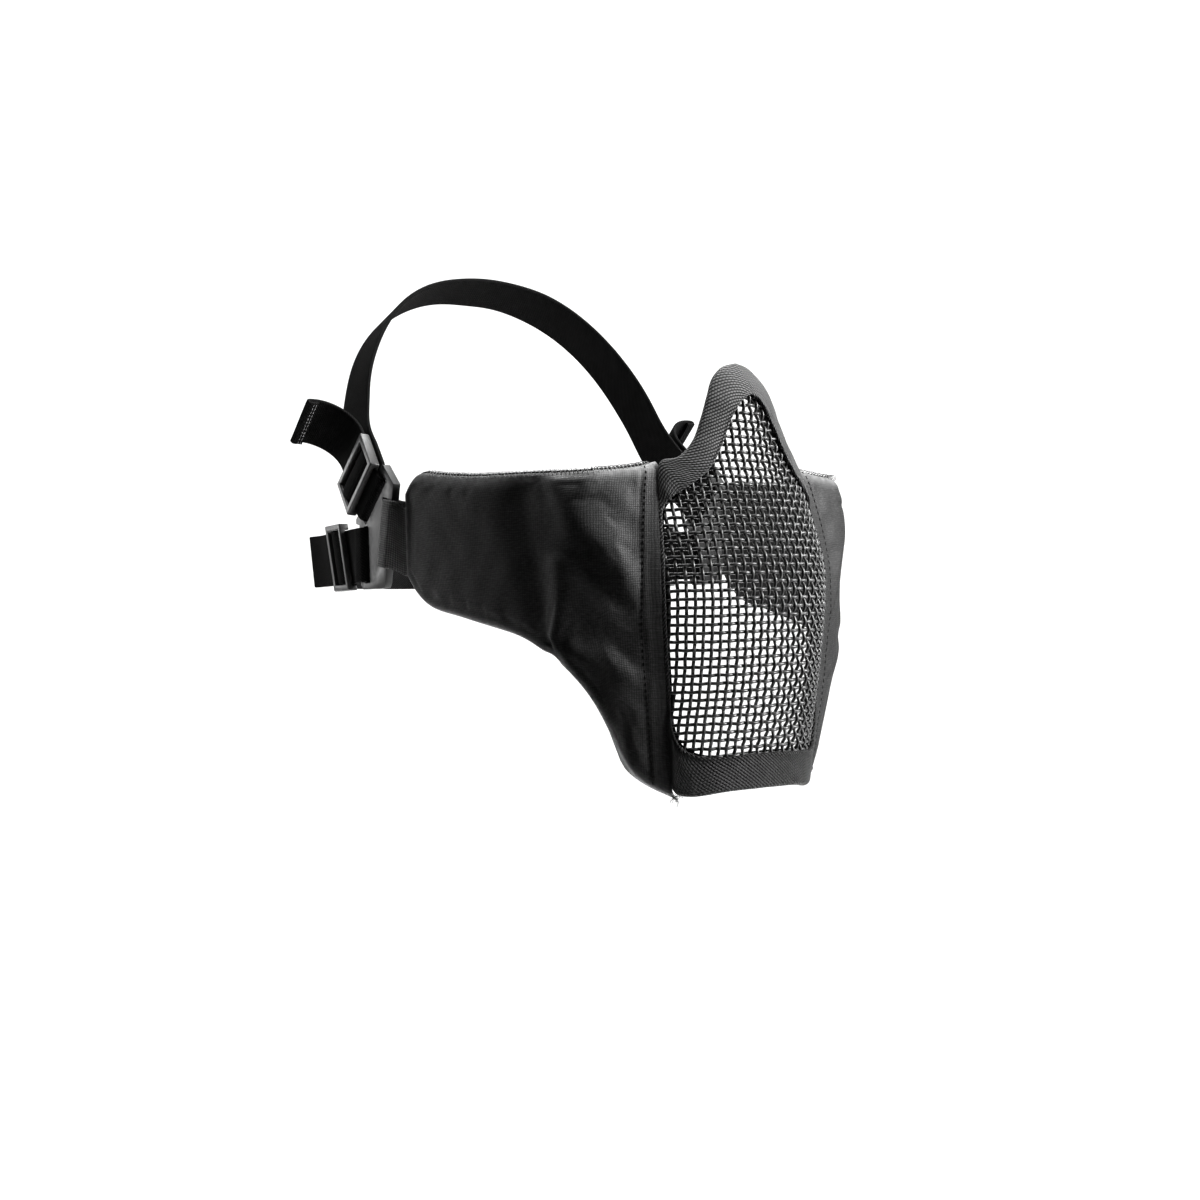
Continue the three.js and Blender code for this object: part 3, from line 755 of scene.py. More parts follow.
def overcast_tree() -> Tree:
    """A thread wound round a guide edge. The attributes Out and Rise give its loops' directions."""
    tree = Tree("overcast_thread", [
        ("Pitch", "Float"), ("Step", "Float"), ("Thread", "Float"), ("Material", "Material"),
    ])
    out, rise = tree.carried("Out"), tree.carried("Rise")
    line = tree.add("MeshToCurve", Mesh=tree.source.outputs[0])
    fine = tree.add("ResampleCurve", {"mode": "LENGTH"}, Curve=line, Length=tree.given("Step"))
    length = tree.add("SplineParameter").outputs["Length"]
    turn = tree.math("MULTIPLY", tree.math("DIVIDE", length, tree.given("Pitch")), 2 * math.pi)
    moved = tree.vector(
        "ADD",
        tree.vector("SCALE", out, scale=tree.math("COSINE", turn)),
        tree.vector("SCALE", rise, scale=tree.math("SINE", turn)),
    )
    wound = tree.add("SetPosition", Geometry=fine, Offset=moved)
    profile = tree.add("CurvePrimitiveCircle", Resolution=5, Radius=tree.given("Thread"))
    tree.finish(tree.add("CurveToMesh", Curve=wound, Profile_Curve=profile, Fill_Caps=True))
    return tree


def guide_line(points: Array, directions: dict[str, Array]) -> Piece:
    """A line of edges that carries directions for a tree.

    Args:
        points: The line, in metres.
        directions: Vectors by attribute name, one for each point.

    Returns:
        The guide object.
    """
    mesh = bpy.data.meshes.new("guide")
    count = len(points)
    mesh.from_pydata(points.tolist(), [(index, index + 1) for index in range(count - 1)], [])
    for name, vectors in directions.items():
        layer = mesh.attributes.new(name, "FLOAT_VECTOR", "POINT")
        layer.data.foreach_set("vector", np.asarray(vectors, np.float32).ravel())
    return placed("guide", mesh)


# ---------------- finishes


class Shader(Nodes):
    """A material being built round one principled shader."""

    def __init__(self, name: str, roughness: float, sheen: float = 0.0, specular: float = 0.5) -> None:
        """Starts a material with the numbers that are the same all over it.

        Args:
            name: The material's name.
            roughness: How matt it is, where nothing is linked to that.
            sheen: How much it shines at a glancing angle, as fibres do.
            specular: How strongly it reflects.
        """
        self.material = bpy.data.materials.new(name)
        self.material.use_nodes = True
        super().__init__(self.material.node_tree, "ShaderNode")
        self.body = self.net.nodes["Principled BSDF"]
        self.body.inputs["Roughness"].default_value = roughness
        self.body.inputs["Specular IOR Level"].default_value = specular
        self.body.inputs["Sheen Weight"].default_value = sheen
        self.body.inputs["Sheen Roughness"].default_value = 0.5

    def cloth(self) -> tuple[Socket, Socket]:
        """The two coordinates of the cloth, in metres along and across it."""
        split = self.add("SeparateXYZ", Vector=self.add("UVMap", {"uv_map": "Cloth"}))
        return split.outputs["X"], split.outputs["Y"]

    def place(self) -> Socket:
        """The place on the object, in metres."""
        return self.add("TexCoord").outputs["Object"]

    def rise(self, low: float, high: float, from_tone: float, to_tone: float) -> Node:
        """A number that changes evenly with height on the mask.

        Args:
            low: The height in metres where it starts to change.
            high: The height where it ends.
            from_tone: Its value below.
            to_tone: Its value above.

        Returns:
            The node.
        """
        height = self.add("SeparateXYZ", Vector=self.place()).outputs["Z"]
        return self.add(
            "MapRange", Value=height, From_Min=low, From_Max=high, To_Min=from_tone, To_Max=to_tone,
        )

    def noise(self, scale: float, detail: float) -> Socket:
        """Soft noise from 0 to 1, so many grains to a metre."""
        return self.add("TexNoise", Vector=self.place(), Scale=scale, Detail=detail).outputs["Fac"]

    def hump(self, count: object) -> Node:
        """A round hump: 0 at each whole number of the count and 1 midway between them."""
        return self.math("SINE", self.math("MULTIPLY", self.math("FRACT", count), math.pi))

    def plain_weave(self, u: object, v: object, pitch_u: float, pitch_v: float) -> Socket:
        """Draws a plain weave of round yarns.

        Args:
            u: The cloth's first coordinate.
            v: Its second.
            pitch_u: Distance between yarns along u.
            pitch_v: Distance between yarns along v.

        Returns:
            The height, from 0 between the yarns to 1 on top of them.
        """
        x, y = self.math("DIVIDE", u, pitch_u), self.math("DIVIDE", v, pitch_v)
        heights = []
        for across, along, shift in ((x, y, -0.5), (y, x, 0.5)):
            phase = self.math("ADD", self.math("ADD", along, self.math("FLOOR", across)), shift)
            swing = self.math("COSINE", self.math("MULTIPLY", phase, math.pi))
            over = self.math("MULTIPLY_ADD", swing, 0.5, 0.5)
            heights.append(self.math("MULTIPLY", self.hump(across), over))
        return self.math("MAXIMUM", *heights).outputs[0]

    def twill(self, u: object, v: object, pitch: float, slant: float = 45.0, segment: float = 1.7) -> Socket:
        """Draws slanting ribs, each a row of short yarn floats.

        Args:
            u: The cloth's first coordinate.
            v: Its second.
            pitch: Distance between ribs.
            slant: Their angle to the run, in degrees.
            segment: A float's length, in pitches.

        Returns:
            The height, from 0 to 1.
        """
        sine, cosine = math.sin(math.radians(slant)) / pitch, math.cos(math.radians(slant)) / pitch
        rib = self.math("MULTIPLY_ADD", u, sine, self.math("MULTIPLY", v, cosine))
        along = self.math("MULTIPLY_ADD", u, cosine / segment, self.math("MULTIPLY", v, -sine / segment))
        phase = self.math("ADD", along, self.math("MULTIPLY", self.math("FLOOR", rib), 0.5))
        bead = self.math("MULTIPLY_ADD", self.hump(phase), 0.45, 0.55)
        return self.math("MULTIPLY", self.hump(rib), bead).outputs[0]

    def blend(self, factor: object, low: Sequence[float], high: Sequence[float]) -> Socket:
        """A colour between two, by a factor."""
        node = self.add("Mix", {"data_type": "RGBA"})
        for socket, value in (("Factor_Float", factor), ("A_Color", low), ("B_Color", high)):
            self.plug(value, next(s for s in node.inputs if s.identifier == socket))
        return next(s for s in node.outputs if s.identifier == "Result_Color")

    def paint(self, colour: Socket) -> None:
        """Links the base colour."""
        self.plug(colour, self.body.inputs["Base Color"])

    def gloss(self, roughness: object) -> None:
        """Links the roughness."""
        self.plug(roughness, self.body.inputs["Roughness"])

    def relief(self, *layers: tuple[object, float, float]) -> None:
        """Bump from layers of height, each with its depth in metres and its strength."""
        normal = None
        for height, depth, strength in layers:
            node = self.add("Bump", Height=height, Distance=depth, Strength=strength)
            if normal is not None:
                self.plug(normal, node.inputs["Normal"])
            normal = node.outputs[0]
        self.plug(normal, self.body.inputs["Normal"])


def grey(value: float, warm: float = 0.0) -> tuple[float, float, float, float]:
    """A neutral tone, a little warm or, below zero, cool."""
    return (value * (1 + warm), value, value * (1 - warm), 1.0)


@dataclass(frozen=True)
class Finish:
    """A finish: its slot in the record and its darkest and lightest tones."""

    name: str
    slot: str
    dark: float
    light: float

    @property
    def material(self) -> bpy.types.Material:
        """The finish as a material, built when it is first asked for."""
        return bpy.data.materials.get(self.name) or self.build()

    def build(self) -> bpy.types.Material:
        """Builds the material."""
        raise NotImplementedError


@dataclass(frozen=True)
class PaintedWire(Finish):
    """Steel wire under a thin semi-matt paint, scuffed here and there."""

    def build(self) -> bpy.types.Material:
        """Builds the paint with its scuffs and fine texture."""
        shader = Shader(self.name, 0.42, specular=0.26)
        scuffs = shader.math("SMOOTH_MIN", shader.noise(420, 5), 1.0, 0.1)
        worn = shader.add(
            "MapRange", {"interpolation_type": "SMOOTHSTEP"}, Value=scuffs, From_Min=0.52, From_Max=0.72,
        )
        shader.paint(shader.blend(worn, grey(self.dark), grey(self.light, 0.01)))
        shader.gloss(shader.math("MULTIPLY_ADD", shader.noise(900, 2), 0.2, 0.33))
        shader.relief((shader.noise(5200, 2), 0.00003, 0.35))
        return shader.material


@dataclass(frozen=True)
class TwillTape(Finish):
    """Polyester tape with slanting ribs."""

    rib: float = 0.00086
    slant: float = 36.0

    def build(self) -> bpy.types.Material:
        """Builds ribs of yarn floats, with painted light that makes them paler towards the top of the mask.
        """
        shader = Shader(self.name, 0.6, specular=0.08)
        u, v = shader.cloth()
        wander = shader.math("MULTIPLY", shader.noise(160, 2), 0.0006)
        height = shader.twill(shader.math("ADD", u, wander), v, self.rib, self.slant)
        # painted light: the tape's tone rises with height on the mask, so it is paler towards the nose
        painted_shading_by_height = shader.rise(-0.125, -0.01, 0.0, 0.55)
        uneven = shader.math("MULTIPLY_ADD", shader.noise(260, 3), 0.2, painted_shading_by_height)
        tone = shader.math("MULTIPLY", shader.math("POWER", height, 1.6), uneven)
        shader.paint(shader.blend(tone, grey(self.dark), grey(self.light)))
        shader.relief((shader.noise(6500, 2), 0.00005, 0.3), (height, 0.00032, 1.0))
        return shader.material


@dataclass(frozen=True)
class PackCloth(Finish):
    """Coated nylon in a plain weave of thick yarns."""

    yarn: float = 0.00082

    def build(self) -> bpy.types.Material:
        """Builds the weave with its slubs, with painted shade darkening it low on the mask and a painted
        highlight paling it at the pad's outline.
        """
        shader = Shader(self.name, 0.6, specular=0.08)
        u, v = shader.cloth()
        wander = shader.math("MULTIPLY", shader.noise(110, 3), 0.0016)
        wavy_u, wavy_v = shader.math("ADD", u, wander), shader.math("ADD", v, wander)
        height = shader.plain_weave(wavy_u, wavy_v, self.yarn, self.yarn * 0.92)
        drawn = shader.add("CombineXYZ", X=shader.math("MULTIPLY", u, 0.3), Y=v)
        slub = shader.add("TexNoise", Vector=drawn, Scale=1700.0, Detail=1.0).outputs["Fac"]
        # painted shade: the cloth's tone falls towards the mask's lower edge, on top of random patches
        painted_shading_by_height = shader.rise(-0.135, -0.06, -0.4, -0.1)
        patches_and_painted_shade = shader.math("MULTIPLY_ADD", shader.noise(48, 4), 0.5, painted_shading_by_height)
        uneven = shader.math("ADD", patches_and_painted_shade, shader.math("MULTIPLY_ADD", slub, 1.5, -0.3))
        tone = shader.math("MULTIPLY", shader.math("MULTIPLY_ADD", height, 0.85, 0.3), uneven)
        # painted highlight: the cloth is paler along the pad's outline, where its rolled edge catches light
        rim = shader.add("Attribute", {"attribute_name": "rim"}).outputs["Fac"]
        painted_rim_highlight = shader.math("MULTIPLY", rim, shader.math("MULTIPLY_ADD", shader.noise(420, 4), 1.2, 0.2))
        tone = shader.math("MULTIPLY_ADD", tone, 0.22, painted_rim_highlight)
        shader.paint(shader.blend(tone, grey(self.dark), grey(self.light)))
        shader.gloss(shader.math("MULTIPLY_ADD", height, -0.1, 0.64))
        shader.relief((slub, 0.00007, 0.5), (height, 0.00012, 0.6))
        return shader.material


@dataclass(frozen=True)
class BrushedKnit(Finish):
    """A fine knit with a raised, matted pile."""

    def build(self) -> bpy.types.Material:
        """Builds the pile as soft clumps over fine fibres."""
        shader = Shader(self.name, 0.95, sheen=0.04, specular=0.08)
        u, v = shader.cloth()
        knit = shader.plain_weave(u, v, 0.0011, 0.0008)
        clumps, fibres = shader.noise(700, 4), shader.noise(4200, 3)
        tone = shader.math("MULTIPLY_ADD", clumps, 0.7, shader.math("MULTIPLY", fibres, 0.3))
        shader.paint(shader.blend(tone, grey(self.dark), grey(self.light)))
        shader.relief((fibres, 0.00012, 0.6), (clumps, 0.0003, 0.6), (knit, 0.00012, 0.35))
        return shader.material


@dataclass(frozen=True)
class RibbedWeb(Finish):
    """Webbing or elastic: ribs across or along a narrow woven band."""

    rib: float = 0.0012
    pick: float = 0.0008
    roughness: float = 0.75
    shine: float = 0.12
    slanted: bool = False

    def build(self) -> bpy.types.Material:
        """Builds the band's weave with its uneven yarns."""
        shader = Shader(self.name, self.roughness, specular=self.shine)
        u, v = shader.cloth()
        if self.slanted:
            height = shader.twill(u, v, self.rib, segment=1.3)
        else:
            height = shader.plain_weave(u, v, self.rib, self.pick)
        uneven = shader.noise(300, 3)
        tone = shader.math("MULTIPLY", height, shader.math("MULTIPLY_ADD", uneven, 0.8, 0.4))
        shader.paint(shader.blend(tone, grey(self.dark), grey(self.light)))
        shader.relief((shader.noise(6000, 2), 0.00005, 0.3), (height, 0.0002, 0.85))
        return shader.material


@dataclass(frozen=True)
class MouldedNylon(Finish):
    """Injection-moulded plastic with a fine spark texture."""

    def build(self) -> bpy.types.Material:
        """Builds the plastic with flow marks and handling scuffs."""
        shader = Shader(self.name, 0.45, specular=0.2)
        flow = shader.noise(110, 3)
        shader.paint(shader.blend(flow, grey(self.dark), grey(self.light)))
        shader.gloss(shader.math("MULTIPLY_ADD", shader.noise(700, 3), 0.3, 0.28))
        shader.relief((shader.noise(4800, 2), 0.00002, 0.35), (shader.noise(60, 1), 0.0004, 0.25))
        return shader.material


@dataclass(frozen=True)
class Thread(Finish):
    """Twisted sewing thread."""

    bloom: float = 0.2

    def build(self) -> bpy.types.Material:
        """Builds the thread with its ply."""
        shader = Shader(self.name, 0.7, sheen=self.bloom, specular=2 * self.bloom)
        shader.paint(shader.blend(shader.noise(2500, 2), grey(self.dark), grey(self.light)))
        shader.relief((shader.noise(9000, 1), 0.00004, 0.5))
        return shader.material


WIRE = PaintedWire("painted_wire", "wire", 0.01, 0.038)
TAPE = TwillTape("twill_tape", "tape", 0.002, 0.118)
NYLON = PackCloth("pack_cloth", "nylon", 0.0035, 0.075)
FLEECE = BrushedKnit("brushed_knit", "lining", 0.002, 0.01)
WEBBING = RibbedWeb("ribbed_webbing", "webbing", 0.01, 0.09, rib=0.0007, pick=0.0008)
ELASTIC = RibbedWeb(
    "woven_elastic", "elastic", 0.0006, 0.009, rib=0.00075, slanted=True, roughness=0.8, shine=0.02,
)
PLASTIC = MouldedNylon("moulded_nylon", "plastic", 0.009, 0.018)
SEWING = Thread("sewing_thread", "nylon", 0.03, 0.14)
SEAM_THREAD = Thread("seam_thread", "nylon", 0.0008, 0.004, bloom=0.01)
LINT = Thread("loose_fibres", "lining", 0.06, 0.2)


# ---------------- the face panel


@dataclass
class WireShield:
    """The panel of crimped wires, woven along the surface that it was pressed to."""

    pitch: tuple[float, float] = (2.88, 2.8)  # across and up
    radius: float = 0.6
    crimp: float = 0.5
    across: int = 33
    up: int = 53
    share: float = 0.5  # of the tape's width that the wires stop short of
    stray: float = 0.28  # the range that a wire wanders over, in pitches
    guide_rows: int = 180
    guide_columns: int = 91
    tree: Tree = field(default_factory=weave_tree)

    def guide(self) -> Piece:
        """Makes the surface that the wires follow, with a UV map that shares out their counts."""
        outline = LOOP.outline(self.share)
        heights = np.linspace(outline[0, 0] + 0.3, outline[-1, 0] - 1.5, self.guide_rows)
        halves = np.interp(heights, outline[:, 0], outline[:, 1])
        halves[0] *= 0.8
        x = halves[:, None] * np.linspace(-1, 1, self.guide_columns)
        z = np.broadcast_to(heights[:, None], x.shape)
        fine = np.linspace(0, 1, 200)
        counts = np.zeros(x.shape)
        for row, height in enumerate(heights):
            reach = running(FRONT.point(fine * halves[row], np.full(len(fine), height)))
            counts[row] = np.sign(x[row]) * np.interp(np.abs(x[row]), fine * halves[row], reach)
        middle = running(FRONT.point(np.zeros(len(heights)), heights))
        rises = np.broadcast_to((middle - middle[-1] / 2)[:, None], x.shape)
        uvs = np.stack([counts, rises], -1) / np.array(self.pitch) / np.array([self.across, self.up]) + 0.5
        cells = grid_cells(*x.shape)
        return new_piece("guide", in_frame(FRONT.point(x, z)), cells.tolist(), uvs.reshape(-1, 2)[cells])

    def build(self) -> Piece:
        """Weaves the panel and lets it stand for its solid."""
        panel = self.tree.grown("wire_shield", self.guide(), {
            "Across": self.across, "Up": self.up, "Samples": 4, "Sides": 7, "Radius": self.radius * MM,
            "Crimp": self.crimp * MM, "Stray": self.stray, "Material": WIRE.material,
        })
        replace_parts(dressed(panel, WIRE), "mesh_shield")
        return panel


@dataclass
class TapeBinding:
    """Twill tape folded over the panel's edge, with the wires in its groove."""

    depth: float = 2.1  # from the panel's middle to the tape's face
    narrow: float = 1.65  # the same where the wings pinch it
    inner: float = 1.1  # from the panel's middle to the inside of the tape
    fold: float = 1.9  # how far in the folded edge rounds off
    groove: float = 0.45  # where the groove's bottom is, as a share of the width
    step: float = 1.1

    def runs(self) -> tuple[Array, Array]:
        """Running numbers at even steps round the loop, with the distance to each."""
        fine = np.linspace(-LOOP.end, LOOP.end, 4000)
        x, z = LOOP.place(fine, 0.45)
        along = running(FRONT.point(x, z))
        count = int(round(along[-1] / self.step))
        places = np.linspace(0, along[-1], count + 1)
        return np.interp(places, along, fine), places

    def section(self, width: float) -> tuple[Array, Array]:
        """The tape's outline across its run.

        Args:
            width: From the outer edge to the window's, in millimetres.

        Returns:
            Distances in from the outer edge, and heights off the panel's middle surface.
        """
        fold = min(self.fold, 0.45 * width)
        depth = self.narrow + (self.depth - self.narrow) * float(smooth(width, 3, 8))
        angles = np.linspace(0, math.pi / 2, 7)
        bend = np.stack([fold * (1 - np.cos(angles)), depth * np.sin(angles)], 1)
        lip, bevel = 0.5, 0.12
        share = np.linspace(0, 1, 9)[1:]
        flat = np.stack([fold + (width - lip - fold) * share, np.full(len(share), depth)], 1)
        if width > 6:  # at full width the face swells a little and dips beside its lip
            flat[:, 1] += 0.14 * np.sin(math.pi * share) ** 0.7
            flat[-2:, 0] = [width - 1.15, width - 0.6]
            flat[-2, 1] -= 0.32
        rim = np.array([
            [width - bevel, depth - bevel], [width, depth - lip],
            [width - bevel, self.inner + 0.1], [width - lip, self.inner],
        ])
        bottom = np.array([[width * self.groove - lip, self.inner]])
        half = np.concatenate([bend, flat, rim, bottom])
        back = half[1:][::-1] * np.array([1, -1])
        whole = np.concatenate([half, back])
        return whole[:, 0], whole[:, 1]

    def build(self) -> Piece:
        """Sweeps the section round the loop, a little uneven as sewn tape is."""
        runs, along = self.runs()
        runs, rings, uvs = runs[:-1], [], []
        for run, place in zip(runs, along[:-1]):
            edge = FRONT.point(*LOOP.place(np.array(run), 0.0))
            window = FRONT.point(*LOOP.place(np.array(run), 1.0))
            width = float(np.linalg.norm(window - edge))
            inward, height = self.section(width)
            around = round_section(inward, height)
            across = around[:-1]
            full = smooth(np.abs(height), 0.8, 2.0) * smooth(width, 3, 9)
            wave = 0.09 * np.sin(place / 2.9 + 0.4 * np.sin(place / 7.7)) * np.sin(across / 3.1 + place / 19)
            wave += 0.05 * np.sin(place / 1.3 + across / 2.2)
            height = height + np.sign(height) * full * wave
            x, z = LOOP.place(np.full(inward.shape, run), inward / width)
            rings.append(in_frame(FRONT.off(x, z, height)))
            uvs.append(np.stack([np.full(len(around), place), around], 1) * MM)
        uvs.append(uvs[0] + np.array([along[-1] * MM, 0]))
        piece = lofted("twill_binding", np.array(rings), np.array(uvs), meets=True)
        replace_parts(dressed(piece, TAPE), "face_binding")
        return piece


# ---------------- cheek wings


@dataclass(frozen=True)
class Fold:
    """A soft ridge, or a valley where its height is negative, in a wing's cloth.

    The line's points are millimetres back from the seam along the cloth, and height.
    """

    line: tuple[tuple[float, float], ...]
    height: float
    width: float
    end_width: float | None = None  # where the line ends, if it is another width there

    def at(self, u: Array, z: Array) -> Array:
        """Works out the fold's shape.

        Args:
            u: Places back from the seam along the cloth.
            z: Their heights.

        Returns:
            How high the fold stands at each.
        """
        points = np.array(self.line, float)
        best = np.full(u.shape, np.inf)
        share = np.zeros(u.shape)
        total = running(points)
        for index in range(len(points) - 1):
            far, t = to_segment(u, z, points[index], points[index + 1])
            nearer = far < best
            best = np.where(nearer, far, best)
            passed = total[index] + t * (total[index + 1] - total[index])
            share = np.where(nearer, passed / total[-1], share)
        width = self.width + ((self.end_width or self.width) - self.width) * share
        fade = smooth(share, 0, 0.12) * (1 - smooth(share, 0.8, 1)) * 0.75 + 0.25
        return self.height * fade * bell(best, width)


RIGHT_FOLDS = (
    Fold(((42, 122), (35.5, 106), (28, 95), (17, 83), (8.5, 71), (2, 62)), 2.3, 6.0, 6.5),
    Fold(((29, 82), (20, 73), (10, 61)), -0.6, 5.0),
    Fold(((53, 108), (49, 96), (45.5, 84), (43.5, 70), (41.5, 53)), -1.1, 5.5, 3.4),
    Fold(((48, 112), (44.5, 90), (41.5, 70), (40, 54)), -1.5, 10.0, 8.0),
    Fold(((33, 84), (34, 74), (35.5, 66), (37.5, 58), (39.5, 50)), 1.5, 5.0, 2.3),
    Fold(((36, 53), (27, 49), (18, 44.5), (6, 38)), 1.0, 3.4, 4.6),
    Fold(((30, 57), (20, 53), (11, 49)), -0.5, 4.0),
    Fold(((41, 54), (39, 47)), -1.5, 1.7),
    Fold(((36.8, 53), (34.8, 45)), 0.8, 1.7),
    Fold(((27, 108), (25, 100)), 0.7, 3.2),
    Fold(((60, 104), (80, 98), (100, 96)), 0.3, 9.0),
    Fold(((58, 60), (76, 66), (96, 68)), 0.35, 8.0),
)
LEFT_FOLDS = (
    Fold(((35, 105), (26, 94), (17, 82), (9, 68), (0, 55), (-8, 42)), 1.9, 8.0, 6.0),
    Fold(((29, 80), (20, 72), (10, 60)), -0.5, 5.0),
    Fold(((45, 105), (44, 86), (42, 68), (40, 54)), -1.0, 5.8, 3.8),
    Fold(((47, 112), (44, 90), (41, 70), (39.5, 54)), -1.4, 10.0, 8.0),
    Fold(((34, 86), (34.5, 75), (36, 64), (38.5, 52)), 1.3, 4.2, 2.8),
    Fold(((37, 49), (28, 46), (17, 42), (5, 36)), 1.0, 2.8, 4.8),
    Fold(((40, 54), (38, 47)), -1.2, 1.8),
    Fold(((26, 108), (24, 100)), 0.6, 3.2),
    Fold(((64, 105), (82, 96), (102, 92)), 0.3, 8.0),
    Fold(((56, 62), (78, 64), (98, 70)), 0.3, 8.0),
)


@dataclass
class CheekWing:
    """One padded cheek wing: its nylon pad, the brushed lining behind it and their sewing."""

    side: Side
    folds: tuple[Fold, ...]
    hem: float = 2.2  # the pad's thickness along its outline
    full: float = 4.4  # the pad's thickness in its middle
    lining: float = 1.2
    rise: float = 0.8  # how far the lining stands above the pad's top edge
    most: float = 0.6  # how far the settling may move the skin
    tuck: float = 1.3  # how far the front edge laps onto the tape's fold
    hem_line: float = 6.2  # from the seam to the stitching beside it
    columns: int = 104
    rows: int = 84
    stations: Array = field(init=False)
    levels: Array = field(init=False)
    u: Array = field(init=False)
    z: Array = field(init=False)

    def __post_init__(self) -> None:
        """Lays out the grid: close lines near the edges, even ones between."""
        middle_height, usual_height = 82.0, 62.0
        close = np.array([0, 0.12, 0.32, 0.62, 1.0, 1.6, 2.4])

        def spread(edge: Array, whole: float, count: int) -> Array:
            """So many places from 0 to the whole, close at both ends as the edge's are."""
            inner = np.linspace(edge[-1], whole - edge[-1], count - 2 * (len(edge) - 1))
            return np.concatenate([edge[:-1], inner, whole - edge[:-1][::-1]])

        fine = np.linspace(0, CHEEK.end, 1200)
        along = running(CHEEK.point(fine, np.full(len(fine), middle_height)))
        self.stations = np.interp(spread(close, along[-1], self.columns), along, fine)
        self.levels = spread(close / usual_height, 1, self.rows)
        low = CHEEK.low.at(self.stations)["z"][:, None]
        high = CHEEK.high.at(self.stations)["z"][:, None]
        self.z = low + (high - low) * self.levels
        skin = CHEEK.point(self.stations[:, None], self.z)
        steps = np.linalg.norm(np.diff(skin[..., :2], axis=0), axis=-1)
        self.u = np.concatenate([np.zeros((1, skin.shape[1])), np.cumsum(steps, axis=0)])

    def edge_distance(self, u: Array, z: Array, rise: float = 0.0, front: bool = True) -> Array:
        """Measures distance on the cloth to the wing's outline.

        Args:
            u: Places back from the seam along the cloth.
            z: Their heights.
            rise: How much higher than the pad's the top edge is.
            front: Whether the edge at the seam counts.

        Returns:
            The distance of each place.
        """
        low = np.stack([self.u[:, 0], self.z[:, 0]], 1)
        high = np.stack([self.u[:, -1], self.z[:, -1] + rise], 1)
        rear = np.stack([self.u[-1], self.z[-1]], 1)
        best = np.full(u.shape, np.inf)
        seam = [np.array([[0.0, 0.0], [0.0, 114.0]])] if front else []
        for line in (low, high, rear, *seam):
            for start, end in zip(line[:-1], line[1:]):
                best = np.minimum(best, to_segment(u, z, start, end)[0])
        return best

    def arch(self, distance: Array, reach: Array | float) -> Array:
        """The share of its full height that a rounded edge has at a distance from the outline."""
        share = np.clip(1 - distance / reach, 0, 1)
        return np.sqrt(1 - share**2)

    def roll(self, distance: Array, radius: float) -> Array:
        """How far a rounded edge falls away at a distance from the outline."""
        share = np.clip(1 - distance / (radius * 1.25), 0, 1)
        return radius * (1 - np.sqrt(1 - share**2))

    def sculpted(self, u: Array, z: Array, distance: Array) -> Array:
        """Works out the cloth's own shape: its folds, stitched groove, puckers and fullness.

        Args:
            u: Places back from the seam along the cloth.
            z: Their heights.
            distance: Their distances from the outline.

        Returns:
            Heights above the wing's surface.
        """
        held = smooth(distance, 1.0, 6.0)
        past = u - self.hem_line
        folds = sum((fold.at(u, z) for fold in self.folds), np.zeros(u.shape))
        raised = folds * smooth(distance, 0.3, 3.0) * smooth(u, 2, 13)
        pillow = 0.55 * smooth(distance, 2, 14) * smooth(u, self.hem_line, self.hem_line + 12)
        groove = -0.42 * bell(past, 0.55) + 0.22 * bell(past + 1.5, 0.8)
        fine = 0.10 * np.sin(u / 2.3 + 1.3 * np.sin(z / 6.1)) * np.sin(z / 4.4 + 0.8 * np.sin(u / 5.2))
        ripple = 0.12 * np.sin(z / 1.9 + 0.9 * np.sin(z / 7.0)) * bell(past - 2.2, 2.2)
        hem = -0.12 * bell(distance - 4.4, 1.3) * smooth(u, self.hem_line, self.hem_line + 8)
        strip = 0.45 + 1.45 * (1 - smooth(u, 6, 34))
        return raised + (pillow + fine) * held + ripple + strip + groove * smooth(distance, 0.0, 1.5) + hem

    def relaxed(self, surface: Array) -> Array:
        """Lets the skin settle as sewn cloth over foam does.

        Args:
            surface: The sculpted skin in millimetres, as a grid.

        Returns:
            The same grid after a short cloth simulation, held at its hems.
        """
        columns, rows = surface.shape[:2]
        pick_c = np.unique(np.linspace(0, columns - 1, 60).astype(int))
        pick_r = np.unique(np.linspace(0, rows - 1, 52).astype(int))
        picked = np.ix_(pick_c, pick_r)
        coarse = surface[picked]
        cells = grid_cells(len(pick_c), len(pick_r)).tolist()
